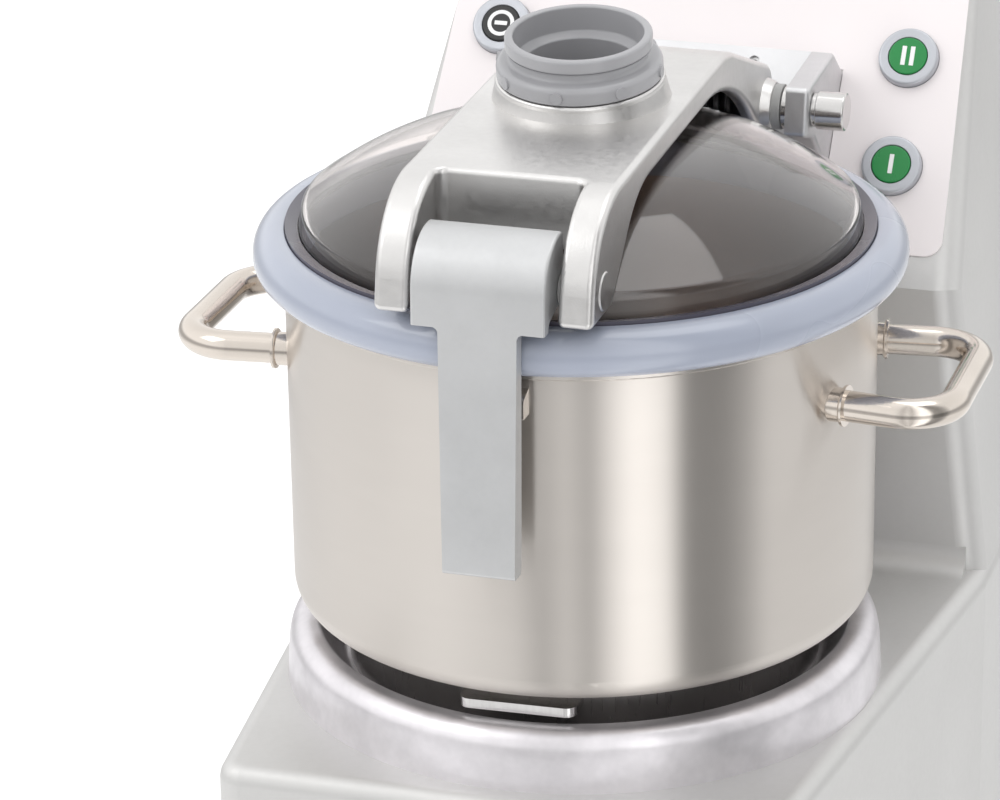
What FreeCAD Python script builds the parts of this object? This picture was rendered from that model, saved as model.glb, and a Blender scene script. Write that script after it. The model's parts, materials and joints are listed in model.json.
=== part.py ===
import FreeCAD, Part
import Sketcher
import math
import os
import re

# Table-top vertical cutter mixer with a 15-litre-class bowl.
# Origin: on the floor, in the middle of the footprint. +Z up, +Y to the back, +X to the machine's right.
# Most sizes are given from the bowl axis and from the top of the base, in millimetres.

SIZES = [
    # housing
    ("base_height", 278, "floor to the top of the base"),
    ("foot_height", 20, "free height of a foot"),
    ("front_half", 146, "half-width of the base at its front"),
    ("back_half", 185, "half-width of the base beside the column"),
    ("base_margin", 19.1, "from the bowl's wall to the front face"),
    ("back_reach", 439, "bowl axis to the back wall"),
    ("housing_wall", 3, "wall of the housing"),
    ("plan_round", 14, "corner radius of the base in plan"),
    ("edge_round", 9, "rounding of the upper edges"),
    ("cove_round", 14, "cove between base and column"),
    ("column_margin", 12.1, "from the bowl's wall to the column"),
    ("column_bend", 165, "height of the bend under the panel"),
    ("column_top", 402, "height of the column"),
    ("column_top_half", 137, "half-width of the column at its top"),
    ("column_root", 12, "depth of the column's foot in the base"),
    ("column_step", 1, "side step from the base to the column's foot"),
    ("panel_tilt", 38, "panel's lean back from the vertical, degrees"),
    # plates on the housing
    ("panel_low", 18.8, "bend to the panel plate's lower edge"),
    ("panel_high", 250, "bend to the panel plate's upper edge"),
    ("panel_low_half", 152.6, "half-width of the plate's lower edge"),
    ("panel_high_half", 142.8, "half-width of the plate's upper edge"),
    ("panel_plate", 1, "thickness of the panel plate"),
    ("panel_round", 10, "corner radius of the panel plate"),
    ("front_plate_half", 115, "half-width of the front plate"),
    ("front_plate_top", 14, "base top to the front plate"),
    ("front_plate_height", 60, "height of the front plate"),
    ("front_plate_wall", 1, "thickness of the front plate"),
    ("cover_half", 110, "half-width of the rear cover"),
    ("cover_low", 190, "rear cover's reach below the base top"),
    ("cover_high", 320, "rear cover's reach above the base top"),
    ("cover_wall", 2, "thickness of the rear cover"),
    ("cover_lap", 12, "overlap of the cover on the back wall"),
    ("cover_screw_head", 2.5, "height of the cover screws' heads"),
    ("cover_screw_radius", 2, "shank radius of the cover screws"),
    ("vent_length", 70, "length of a vent slot"),
    ("vent_height", 5, "height of a vent slot"),
    ("vent_pitch", 13, "pitch of the vent slots"),
    ("vent_count", 9, "vent slots in a column"),
    ("vent_start", 40, "base top to the first vent slot"),
    ("bottom_wall", 2, "thickness of the bottom plate"),
    ("seat_gap", 0.3, "clearance round pieces that drop in"),
    # feet
    ("foot_radius", 20, "radius of a foot"),
    ("foot_inset", 26, "front feet in from the sides"),
    ("foot_setback", 34, "front feet in from the front face"),
    ("foot_back_inset", 35, "back feet in from the sides"),
    ("foot_back_setback", 39, "back feet in from the back wall"),
    # base ring
    ("ring_foot_out", 5.1, "how far the base ring's foot reaches beyond the bowl"),
    ("ring_shoulder_in", 4.4, "how far its shoulder stays within the bowl"),
    ("ring_height", 31.5, "height of the base ring"),
    ("ring_mouth_in", 11.9, "how far its mouth stays within the bowl"),
    ("pan_room", 5.5, "room round the bowl's foot ring"),
    ("ring_floor", 12, "height of its floor"),
    ("ring_hole", 60.3, "radius of the hole round the motor nose"),
    # bowl
    ("bowl_radius", 152.9, "outer radius of the bowl"),
    ("bowl_wall", 2, "wall of the bowl"),
    ("bowl_bottom", 46.5, "underside of the bowl"),
    ("bowl_rim", 226, "top of the rim"),
    ("bowl_corner", 13, "outer radius between wall and bottom"),
    ("rim_lip", 2.2, "width of the rolled rim outside the wall"),
    ("rim_depth", 4.5, "depth of the rolled rim"),
    ("foot_ring_in", 28, "how far the foot ring stays within the bowl"),
    ("foot_ring_wall", 6, "wall of the foot ring"),
    ("lug_count", 3, "locating lugs round the foot ring"),
    ("lug_half", 30.5, "half-width of a locating lug"),
    ("lug_room", 2, "clearance before a lug"),
    ("lug_low", 34.5, "underside of the lugs"),
    ("lug_thick", 5, "thickness of the lugs"),
    ("lug_angle", 1.9, "first lug's turn from the front, degrees"),
    ("chimney_radius", 29, "outer radius of the chimney in the bowl"),
    ("chimney_wall", 2, "wall of the chimney"),
    ("chimney_top", 132, "top of the chimney"),
    ("chimney_flange", 36, "radius of the chimney's foot flange"),
    ("catch_half", 17.5, "half-width of the catch on the bowl"),
    ("catch_out", 8.1, "how far the catch stands out of the bowl"),
    ("catch_low", 203.4, "underside of the catch"),
    ("catch_high", 218, "top of the catch"),
    # bowl handles
    ("handle_level", 181, "height of the handles"),
    ("handle_bar", 7.9, "radius of the handle bar"),
    ("handle_room", 50.3, "from the bowl's wall to the middle of the grip"),
    ("handle_root_in", 0.9, "from the bowl's wall in to the end of the bar"),
    ("handle_root_y", 48, "end of the bar from the middle plane"),
    ("handle_spread", 5.5, "how far the legs spread on their way out"),
    ("handle_bend", 24, "bend radius of the bar"),
    ("handle_flange", 10.6, "radius of the weld flange"),
    ("handle_flange_wall", 2, "thickness of the weld flange"),
    ("handle_stub", 8.8, "radius of the stub behind the flange"),
    # lid
    ("lid_gap", 0.3, "clearance between rim and seal ring"),
    ("seal_out", 15.6, "how far the seal ring reaches beyond the bowl"),
    ("seal_in", 8.4, "how far its inner edge stays within the bowl"),
    ("seal_height", 23, "height of the seal ring"),
    ("seal_low_round", 9, "lower outer rounding of the seal ring"),
    ("seal_high_round", 12.6, "upper outer rounding of the seal ring"),
    ("seal_groove", 3.8, "depth of the rebate that holds the dome"),
    ("dome_edge_in", 1.3, "how far the dome's flange stays within the bowl"),
    ("dome_flange_width", 6.6, "width of the dome's flange"),
    ("dome_flange", 3.2, "thickness of the dome's flange"),
    ("dome_wall", 3, "wall of the dome"),
    ("dome_shoulder_in", 8.6, "from the flange's edge in to the shoulder"),
    ("dome_shoulder", 261, "height of the dome's shoulder"),
    ("dome_crown_in", 3.8, "from halfway between edge and hole in to the crown"),
    ("dome_top", 296, "top of the dome"),
    ("dome_crown_less", 143.2, "by which the crown's radius is less than the flange's diameter"),
    ("dome_hole", 38, "radius of the hole in the dome"),
    ("dome_gap", 1, "clearance between dome and arm"),
    ("gasket_radius", 47, "outer radius of the gasket under the arm"),
    # feed tube, in its own leaning frame
    ("tube_tilt", 6.5, "forward lean of the feed tube, degrees"),
    ("tube_seat", 328, "height of the feed tube's seat"),
    ("tube_outer", 33, "outer radius below the collar"),
    ("tube_inner", 28, "bore at the step"),
    ("tube_mouth", 33.2, "bore at the rim"),
    ("tube_drop", 38, "length below the seat"),
    ("tube_rise", 22.3, "length above the seat"),
    ("collar_radius", 42.5, "radius of the bayonet collar"),
    ("collar_height", 9, "height of the bayonet collar"),
    ("tube_neck", 35.4, "radius of the neck"),
    ("tube_rim", 37.6, "radius of the rim"),
    ("tube_step", 7, "height of the inner step above the seat"),
    ("boss_radius", 43.4, "radius of the boss on the arm"),
    ("boss_depth", 19, "depth of the boss below the seat"),
    ("grip_count", 8, "grip bumps round the collar"),
    ("grip_radius", 4.5, "radius of a grip bump"),
    ("grip_height", 0.9, "height of a grip bump"),
    # arm
    ("arm_half", 55, "half-width of the arm"),
    ("arm_round", 3.5, "edge rounding of the arm"),
    ("fork_tip", 22, "latch pin to the tips of the fork"),
    ("arm_tip", 256, "height of the fork's tips"),
    ("fork_tip_back", 14, "latch pin to the back of the tips"),
    ("arm_crest_front", 313, "height of the arm's top line at the fork"),
    ("arm_crest_back", 317, "height of the arm's top line behind the tube"),
    ("arm_under", 299.5, "height of the arm's underside"),
    ("slot_round", 3, "rounding of the slot's upper edge"),
    ("fork_half", 37.5, "half-width of the fork's slot"),
    ("slot_back", 30, "latch pin to the slot's back"),
    ("cheek_inner", 48, "half-distance between the hinge cheeks"),
    # latch
    ("latch_in", 4.9, "from the bowl's wall in to the latch pin"),
    ("latch_z", 269, "latch pin above the base top"),
    ("latch_pin_radius", 6, "radius of the latch pin"),
    ("latch_head_radius", 10, "radius of the pin's heads"),
    ("latch_head_wall", 4, "thickness of the pin's heads"),
    ("latch_head_proud", 0.6, "how far a head stands out of the arm"),
    ("lever_half", 33.6, "half-width of the lever's head"),
    ("lever_tail_half", 19.8, "half-width of the tail below the head"),
    ("lever_end_half", 18.4, "half-width of the tail's end"),
    ("lever_out", 34, "latch pin to the tail's front"),
    ("lever_low", 127, "height of the tail's end"),
    ("lever_shoulder", 254, "height of the lever's shoulder"),
    ("lever_high", 297, "height of the lever's top"),
    ("lever_wall", 12.4, "thickness of the tail"),
    ("hook_half", 12, "half-width of the lever's hook"),
    ("lever_hub", 8.7, "radius of the lever's hub round the pin"),
    ("running_fit", 0.05, "radial clearance of a shaft in its hole"),
    # hinge
    ("hinge_back", 5, "from the column's front back to the hinge"),
    ("hinge_z", 261.5, "hinge above the base top"),
    ("hinge_pin_radius", 7.5, "radius of the hinge pin"),
    ("hub_round", 16, "radius of the arm's hub"),
    ("hub_reach", 60.4, "middle plane to the outer end of the arm's hub"),
    ("hub_end", 13.4, "radius of the hub's outer end"),
    ("bush_lip", 4.8, "thickness of a bush's flange"),
    ("ear_inner", 69, "middle plane to an ear's inner face"),
    ("ear_outer", 81.6, "middle plane to an ear's outer face"),
    ("ear_reach", 16.3, "hinge to the ears' front"),
    ("ear_top", 276.3, "height of the ears"),
    ("bracket_low", 62, "bend to the bracket's lower edge, up the panel"),
    ("bracket_high", 122.8, "bend to the bracket's upper edge, up the panel"),
    ("bracket_plate", 27, "thickness of the bracket's plate"),
    ("bush_wall", 2, "wall of the hinge bushes"),
    ("bush_flange", 12.5, "radius of the bushes' flanges"),
    ("washer_gap", 0.3, "play between bush and washer"),
    ("knob_radius", 10.5, "radius of the hinge knob"),
    ("knob_neck", 9.4, "radius of the knob's neck"),
    ("knob_length", 18, "length of the hinge knob"),
    ("spring_wire", 4, "diameter of the hinge spring's wire"),
    ("spring_mean", 12.4, "mean radius of the hinge spring"),
    ("spring_turns", 13, "turns of the hinge spring"),
    ("spring_pitch", 6.4, "pitch of the hinge spring"),
    ("bracket_screw_x", 37, "bracket screws from the middle plane"),
    ("screw_margin_high", 8.2, "bracket's upper edge to its upper screws"),
    ("screw_margin_low", 10, "bracket's lower edge to its lower screws"),
    ("bracket_screw_radius", 3, "radius of the bracket screws"),
    ("bracket_screw_sunk", 2, "depth of the screws in the plate"),
    ("magnet_radius", 6, "radius of the lid magnet"),
    ("magnet_height", 6, "height of the lid magnet"),
    # buttons, in the panel's frame
    ("button_x", 118, "buttons from the middle plane"),
    ("button_low", 68.6, "bend to the lower buttons"),
    ("button_high", 132.3, "bend to the upper buttons"),
    ("bezel_radius", 16.8, "outer radius of a bezel"),
    ("bezel_height", 6, "height of a bezel"),
    ("cap_radius", 10.8, "radius of a button cap"),
    ("cap_height", 3, "thickness of a button cap"),
    ("cap_travel", 3, "travel of a button"),
    ("cap_gap", 0.3, "clearance round a button cap"),
    ("stem_radius", 4, "radius of a button's stem"),
    ("stem_length", 16, "length of a button's stem"),
    ("switch_half", 12, "half-width of a switch block"),
    ("switch_depth", 22, "depth of a switch block"),
    # motor
    ("shaft_radius", 15, "radius of the motor shaft"),
    ("shaft_top", 152, "top of the motor shaft"),
    ("flange_radius", 125, "radius of the upper motor flange"),
    ("flange_wall", 14, "thickness of the upper motor flange"),
    ("nose_radius", 60, "radius of the flange's nose"),
    ("nose_top", 32, "top of the flange's nose"),
    ("nose_tip", 36, "radius of the nose's tip"),
    ("upper_bearing_radius", 31, "outer radius of the upper bearing"),
    ("upper_bearing_height", 17, "height of the upper bearing"),
    ("lower_bearing_radius", 26, "outer radius of the lower bearing"),
    ("lower_bearing_height", 15, "height of the lower bearing"),
    ("seal_ring_radius", 24, "outer radius of the shaft seal"),
    ("seal_ring_height", 8, "height of the shaft seal"),
    ("frame_radius", 105, "outer radius of the motor frame"),
    ("frame_wall", 11, "wall of the motor frame"),
    ("frame_length", 173, "length of the motor frame"),
    ("stator_bore", 50.6, "bore of the stator"),
    ("rotor_radius", 50, "radius of the rotor"),
    ("core_high", 58, "base top to the top of the cores"),
    ("core_length", 100, "length of the cores"),
    ("winding_height", 22, "height of a winding head"),
    ("winding_inner", 58, "inner radius of the winding heads"),
    ("winding_outer", 86, "outer radius of the winding heads"),
    ("shield_wall", 12, "thickness of the lower end shield"),
    ("fan_radius", 80, "radius of the cooling fan"),
    ("fan_height", 18, "height of the cooling fan"),
    ("fan_blades", 9, "blades of the cooling fan"),
    ("motor_bolt_circle", 115, "radius of the motor bolts' circle"),
    ("motor_bolt_radius", 4, "radius of the motor bolts"),
    ("motor_bolt_count", 6, "motor bolts"),
    # blades
    ("hub_wall", 5, "wall of the blade hub"),
    ("hub_gap", 1.2, "clearance between chimney and hub"),
    ("hub_low", 56, "bottom of the blade hub"),
    ("hub_cap", 10, "thickness of the hub's closed top"),
    ("blade_gap", 9.9, "between a blade's tip and the bowl's outside"),
    ("blade_wall", 3, "thickness of a blade"),
    ("blade_collar", 5, "width of a blade's collar"),
    ("lower_blade_z", 58, "underside of the lower blades"),
    ("upper_blade_z", 98, "underside of the upper blades"),
    ("nut_radius", 21, "radius of the cap nut"),
    ("nut_height", 30, "height of the cap nut"),
    # electrics
    ("rack_half", 105, "half-width of the electrics plate"),
    ("rack_high", 150, "top of the electrics plate"),
    ("rack_back", 47, "from the back wall to the electrics plate"),
    ("rack_wall", 2.5, "thickness of the electrics plate"),
    ("contactor_width", 45, "width of a contactor"),
    ("contactor_height", 74, "height of a contactor"),
    ("contactor_depth", 70, "depth of a contactor"),
    ("contactor_count", 3, "contactors side by side"),
    ("contactor_pitch", 54, "pitch of the contactors"),
    ("contactor_level", 20, "base top to the contactors' underside"),
    ("terminal_width", 120, "width of the terminal block"),
    ("terminal_depth", 32, "depth of the terminal block"),
    ("terminal_height", 28, "height of the terminal block"),
    ("terminal_level", 120, "base top down to the terminal block's underside"),
    ("reed_width", 30, "width of the reed switch's case"),
    ("reed_length", 40, "length of the reed switch's case"),
    ("reed_height", 9, "thickness of the reed switch's case"),
    ("gland_radius", 12, "radius of the cable gland"),
    ("gland_bore", 4.5, "bore of the cable gland"),
    ("gland_drop", 13, "height of the gland below the plate"),
    ("gland_in", 65, "from the side wall to the cable gland"),
    ("gland_back", 89, "from the back wall to the cable gland"),
]

# Sizes that follow others: name, how it is worked out, meaning.
LINKED = [
    ("front_reach", "bowl_radius + base_margin", "bowl axis to the front face"),
    ("column_front", "bowl_radius + column_margin", "bowl axis to the column's front"),
    ("foot_front_x", "front_half - foot_inset", "front feet from the middle plane"),
    ("foot_front_y", "front_reach - foot_setback", "front feet before the bowl axis"),
    ("foot_back_x", "back_half - foot_back_inset", "back feet from the middle plane"),
    ("foot_back_y", "back_reach - foot_back_setback", "back feet behind the bowl axis"),
    ("ring_foot", "bowl_radius + ring_foot_out", "outer radius of the base ring at its foot"),
    ("ring_shoulder", "bowl_radius - ring_shoulder_in", "outer radius near its top"),
    ("ring_mouth", "bowl_radius - ring_mouth_in", "inner radius at its top"),
    ("ring_pan", "foot_ring_radius + pan_room", "inner radius at its floor"),
    ("foot_ring_radius", "bowl_radius - foot_ring_in", "outer radius of the bowl's foot ring"),
    ("lug_reach", "ring_mouth - lug_room", "bowl axis to a lug's front"),
    ("catch_reach", "bowl_radius + catch_out", "bowl axis to the catch's front"),
    ("handle_out", "bowl_radius + handle_room", "bowl axis to the middle of the grip"),
    ("handle_root_x", "bowl_radius - handle_root_in", "bowl axis to the end of the bar, sideways"),
    ("seal_radius", "bowl_radius + seal_out", "outer radius of the seal ring"),
    ("seal_inner", "bowl_radius - seal_in", "inner radius of the seal ring"),
    ("dome_edge", "bowl_radius - dome_edge_in", "radius of the dome's flange"),
    ("dome_foot", "dome_edge - dome_flange_width", "radius where the dome rises from its flange"),
    ("dome_shoulder_radius", "dome_edge - dome_shoulder_in", "radius of the dome's shoulder"),
    ("dome_break", "(dome_edge + dome_hole) / 2 - dome_crown_in", "radius where the crown's and the flank's lines meet"),
    ("dome_crown_round", "2 * dome_edge - dome_crown_less", "radius between crown and flank"),
    ("arm_front", "latch_y + fork_tip", "bowl axis to the tips of the fork"),
    ("arm_tip_back", "latch_y - fork_tip_back", "bowl axis to the back of the fork's tips"),
    ("fork_depth", "latch_y - slot_back", "bowl axis to the slot's back"),
    ("latch_y", "bowl_radius - latch_in", "latch pin before the bowl axis"),
    ("lever_front", "latch_y + lever_out", "bowl axis to the tail's front"),
    ("lever_back", "lever_front - lever_wall", "bowl axis to the tail's back"),
    ("hinge_y", "column_front + hinge_back", "hinge behind the bowl axis"),
    ("ear_front", "hinge_y - ear_reach", "bowl axis to the ears' front"),
    ("bracket_screw_high", "bracket_high - screw_margin_high", "bend to the upper bracket screws"),
    ("bracket_screw_low", "bracket_low + screw_margin_low", "bend to the lower bracket screws"),
    ("blade_reach", "bowl_radius - blade_gap", "bowl axis to a blade's tip"),
    ("rack_y", "back_reach - rack_back", "bowl axis to the electrics plate"),
    ("gland_x", "back_half - gland_in", "cable gland from the middle plane"),
    ("gland_y", "back_reach - gland_back", "cable gland behind the bowl axis"),
]

doc = FreeCAD.newDocument("vertical_cutter_mixer")
sheet = doc.addObject("Spreadsheet::Sheet", "size")
for row, (alias, number, meaning) in enumerate(SIZES, start=1):
    sheet.set("A%d" % row, alias)
    sheet.set("B%d" % row, str(number))
    sheet.set("C%d" % row, meaning)
    sheet.setAlias("B%d" % row, alias)
doc.recompute()

ALIASES = {alias for alias, number, meaning in SIZES}
FOLLOWS = {name: "(%s)" % text for name, text, meaning in LINKED}
WORD = re.compile(r"[a-z_][a-z_0-9]*")
V = FreeCAD.Vector
kept = []


def spelled(text):
    """Write linked sizes out in the sheet's own names."""
    longer = WORD.sub(lambda found: FOLLOWS.get(found[0], found[0]), text)
    return text if longer == text else spelled(longer)


def bound(text):
    """Point each size name in an expression at the sheet."""
    return WORD.sub(lambda found: "size." + found[0] if found[0] in ALIASES else found[0], spelled(text))


def value(text):
    """Number that an expression has now."""
    return float(sheet.evalExpression(spelled(text)))


# Places: x, y, z and the turn about X, as expressions.
BACK_END = "(back_reach + cover_wall + cover_screw_head)"
BOWL_AXIS = "(lever_front - %s) / 2" % BACK_END
SLOPE_Y = "sin(panel_tilt * 1 deg)"
SLOPE_Z = "cos(panel_tilt * 1 deg)"


def at_bowl(x="0", y="0", z="0", turn="0"):
    """A point given from the bowl axis and the base top."""
    return (x, "%s + %s" % (BOWL_AXIS, y), "base_height + %s" % z, turn)


def up_panel(slope, out="0"):
    """Height and depth, in the bowl's frame, of a point up the panel."""
    depth = "(column_front + (%s) * %s - (%s) * %s)" % (slope, SLOPE_Y, out, SLOPE_Z)
    height = "(column_bend + (%s) * %s + (%s) * %s)" % (slope, SLOPE_Z, out, SLOPE_Y)
    return depth, height


def on_panel(x="0", slope="0", out="0"):
    """A frame on the panel: local y runs up the slope and local z points out of it."""
    depth, height = up_panel(slope, out)
    return at_bowl(x, depth, height, "(90 - panel_tilt)")


HINGE = at_bowl("0", "hinge_y", "hinge_z")
LATCH = at_bowl("0", "-latch_y", "latch_z")
TUBE = at_bowl("0", "0", "tube_seat", "tube_tilt")


def locate(item, place, spin=None):
    """Bind an object's placement to the sheet."""
    x, y, z, turn = place
    if spin is None:
        axis = V(1, 0, 0)
        angle = turn
    else:
        axis = V(0, 0, 1)
        angle = spin
    item.Placement = FreeCAD.Placement(V(0, 0, 0), FreeCAD.Rotation(axis, 1))
    item.setExpression("Placement.Base.x", bound(x))
    item.setExpression("Placement.Base.y", bound(y))
    item.setExpression("Placement.Base.z", bound(z))
    if angle == "0":
        item.Placement = FreeCAD.Placement()
    else:
        item.setExpression("Placement.Rotation.Angle", bound("(%s) * 1 deg" % angle))
    return item


def body(label, place=None, spin=None):
    item = doc.addObject("PartDesign::Body", label)
    item.Label = label
    return locate(item, place or at_bowl(), spin)


def corner_arc(before, corner, after, radius):
    """Centre, start and end of the arc that rounds a corner."""
    back = (before - corner).normalize()
    ahead = (after - corner).normalize()
    half = back.getAngle(ahead) / 2
    reach = radius / math.tan(half)
    centre = corner + (back + ahead).normalize() * (radius / math.sin(half))
    return centre, corner + back * reach, corner + ahead * reach


def fix_point(drawing, geometry, end, x, y):
    """Hold a point at two bound distances from the sketch's origin."""
    for kind, text in (("DistanceX", x), ("DistanceY", y)):
        index = drawing.addConstraint(Sketcher.Constraint(kind, -1, 1, geometry, end, value(text)))
        drawing.setExpression("Constraints[%d]" % index, bound(text))


def draw_path(drawing, corners, closed=True):
    """Straight lines through corners (x, y) or (x, y, rounding), all bound to the sheet."""
    points = [V(value(corner[0]), value(corner[1]), 0) for corner in corners]
    count = len(corners)
    arcs = {}
    for i, corner in enumerate(corners):
        if len(corner) == 3 and (closed or 0 < i < count - 1):
            arcs[i] = corner_arc(points[i - 1], points[i], points[(i + 1) % count], value(corner[2]))
    lines = []
    for i in range(count if closed else count - 1):
        after = (i + 1) % count
        start = arcs[i][2] if i in arcs else points[i]
        end = arcs[after][1] if after in arcs else points[after]
        lines.append(drawing.addGeometry(Part.LineSegment(start, end), False))
    for i, corner in enumerate(corners):
        if i in arcs:
            centre, start, end = arcs[i]
            turn = (start - centre).cross(end - centre).z
            first, last = (start, end) if turn > 0 else (end, start)
            circle = Part.Circle(centre, V(0, 0, 1), value(corner[2]))
            arc = Part.ArcOfCircle(circle, circle.parameter(first), circle.parameter(last))
            curve = drawing.addGeometry(arc, False)
            start_end = (1, 2) if turn > 0 else (2, 1)
            drawing.addConstraint(Sketcher.Constraint("Tangent", lines[i - 1], 2, curve, start_end[0]))
            drawing.addConstraint(Sketcher.Constraint("Tangent", curve, start_end[1], lines[i], 1))
            index = drawing.addConstraint(Sketcher.Constraint("Radius", curve, value(corner[2])))
            drawing.setExpression("Constraints[%d]" % index, bound(corner[2]))
            meeting = drawing.addGeometry(Part.Point(points[i]), True)
            drawing.addConstraint(Sketcher.Constraint("PointOnObject", meeting, 1, lines[i - 1]))
            drawing.addConstraint(Sketcher.Constraint("PointOnObject", meeting, 1, lines[i]))
            fix_point(drawing, meeting, 1, corner[0], corner[1])
        elif closed or 0 < i < count - 1:
            drawing.addConstraint(Sketcher.Constraint("Coincident", lines[i - 1], 2, lines[i], 1))
            fix_point(drawing, lines[i], 1, corner[0], corner[1])
        elif i == 0:
            fix_point(drawing, lines[0], 1, corner[0], corner[1])
        else:
            fix_point(drawing, lines[-1], 2, corner[0], corner[1])


def draw_circle(drawing, x, y, radius):
    circle = drawing.addGeometry(Part.Circle(V(value(x), value(y), 0), V(0, 0, 1), value(radius)), False)
    fix_point(drawing, circle, 3, x, y)
    index = drawing.addConstraint(Sketcher.Constraint("Radius", circle, value(radius)))
    drawing.setExpression("Constraints[%d]" % index, bound(radius))


def sketch(item, name, plane, loops=(), circles=(), path=None, offset="0"):
    """A sketch on one of the body's own origin planes."""
    drawing = item.newObject("Sketcher::SketchObject", name)
    support = next(each for each in item.Origin.OriginFeatures if each.Role == plane + "_Plane")
    drawing.AttachmentSupport = [(support, "")]
    drawing.MapMode = "FlatFace"
    if offset != "0":
        drawing.setExpression("AttachmentOffset.Base.z", bound(offset))
    for loop in loops:
        draw_path(drawing, loop)
    for circle in circles:
        draw_circle(drawing, *circle)
    if path:
        draw_path(drawing, path, closed=False)
    return drawing


def pad(item, name, drawing, length, both=False, flip=False):
    feature = item.newObject("PartDesign::Pad", name)
    feature.Profile = drawing
    if both:
        feature.SideType = "Symmetric"
    feature.Reversed = flip
    feature.setExpression("Length", bound(length))
    return feature


def pocket(item, name, drawing, length=None, flip=False):
    """Cut both ways through everything, or one way to a length, and see that it cuts."""
    doc.recompute()
    volume = item.Shape.Volume
    feature = item.newObject("PartDesign::Pocket", name)
    feature.Profile = drawing
    if length is None:
        feature.Type = "ThroughAll"
        feature.SideType = "Symmetric"
    else:
        feature.Reversed = flip
        feature.setExpression("Length", bound(length))
    doc.recompute()
    if item.Shape.Volume > volume - 0.5:
        raise RuntimeError("%s cuts nothing" % name)
    return feature


def pocket_middle(item, name, drawing, width):
    """Cut to the same depth on both sides of the sketch."""
    feature = pocket(item, name, drawing, width)
    feature.SideType = "Symmetric"
    doc.recompute()
    return feature


def fillet(item, name, radius, chosen):
    """Round the edges of the body's last feature that a test picks."""
    doc.recompute()
    base = item.Tip
    picked = ["Edge%d" % (n + 1) for n, edge in enumerate(base.Shape.Edges) if chosen(edge)]
    rounding = item.newObject("PartDesign::Fillet", name)
    rounding.Base = (base, picked)
    rounding.setExpression("Radius", bound(radius))
    doc.recompute()
    return rounding


def turned(label, loop, place=None, axis="V_Axis", spin=None):
    """A body of revolution: the loop's points are (radius, height), or (length, radius) about H_Axis."""
    item = body(label, place, spin)
    profile = sketch(item, label + "_profile", "XZ", [loop])
    turn = item.newObject("PartDesign::Revolution", label + "_turn")
    turn.Profile = profile
    turn.ReferenceAxis = (profile, [axis])
    turn.Angle = 360
    return item


def ring_loop(inner, outer, low, high):
    return [(inner, low), (outer, low), (outer, high), (inner, high)]


def pattern(item, name, feature, count, angle=360):
    """Repeat a feature round the body's Z axis."""
    copies = item.newObject("PartDesign::PolarPattern", name)
    copies.Originals = [feature]
    axis = next(each for each in item.Origin.OriginFeatures if each.Role == "Z_Axis")
    copies.Axis = (axis, [""])
    copies.Angle = angle
    copies.setExpression("Occurrences", bound(count))
    item.Tip = copies
    return copies


def keep(item, label=None):
    """Hand an object in as a piece of its own."""
    if label:
        item.Label = label
    kept.append(item)
    return item


def together(label, items):
    """Identical separate solids as one piece of the list."""
    group = doc.addObject("Part::Compound", label)
    group.Links = items
    return keep(group, label)


def fuse(name, items):
    union = doc.addObject("Part::MultiFuse", name)
    union.Shapes = items
    union.Refine = True
    return union


def cut(name, base, tool):
    result = doc.addObject("Part::Cut", name)
    result.Base = base
    result.Tool = tool
    result.Refine = True
    return result


def rod(name, radius, height, place, spin=None):
    """A plain cylinder along its frame's local z."""
    item = doc.addObject("Part::Cylinder", name)
    item.setExpression("Radius", bound(radius))
    item.setExpression("Height", bound(height))
    return locate(item, place, spin)


def block(name, length, width, height, place):
    """A plain box from its lowest corner."""
    item = doc.addObject("Part::Box", name)
    item.setExpression("Length", bound(length))
    item.setExpression("Width", bound(width))
    item.setExpression("Height", bound(height))
    return locate(item, place)


def round_places(count, radius, start, z):
    """Places on a circle round the bowl axis."""
    places = []
    for i in range(int(value(count))):
        angle = "(%s + %d * 360 / %s) * 1 deg" % (start, i, count)
        x = "(%s) * cos(%s)" % (radius, angle)
        y = "(%s) * sin(%s)" % (radius, angle)
        places.append(at_bowl(x, y, z))
    return places


BOTTOM = "-(base_height - foot_height)"
COLUMN_DRAFT = "(back_half - column_step - column_top_half) / (column_top + column_root)"
MOTOR_LOW = "-(housing_wall + flange_wall + frame_length)"


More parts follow.
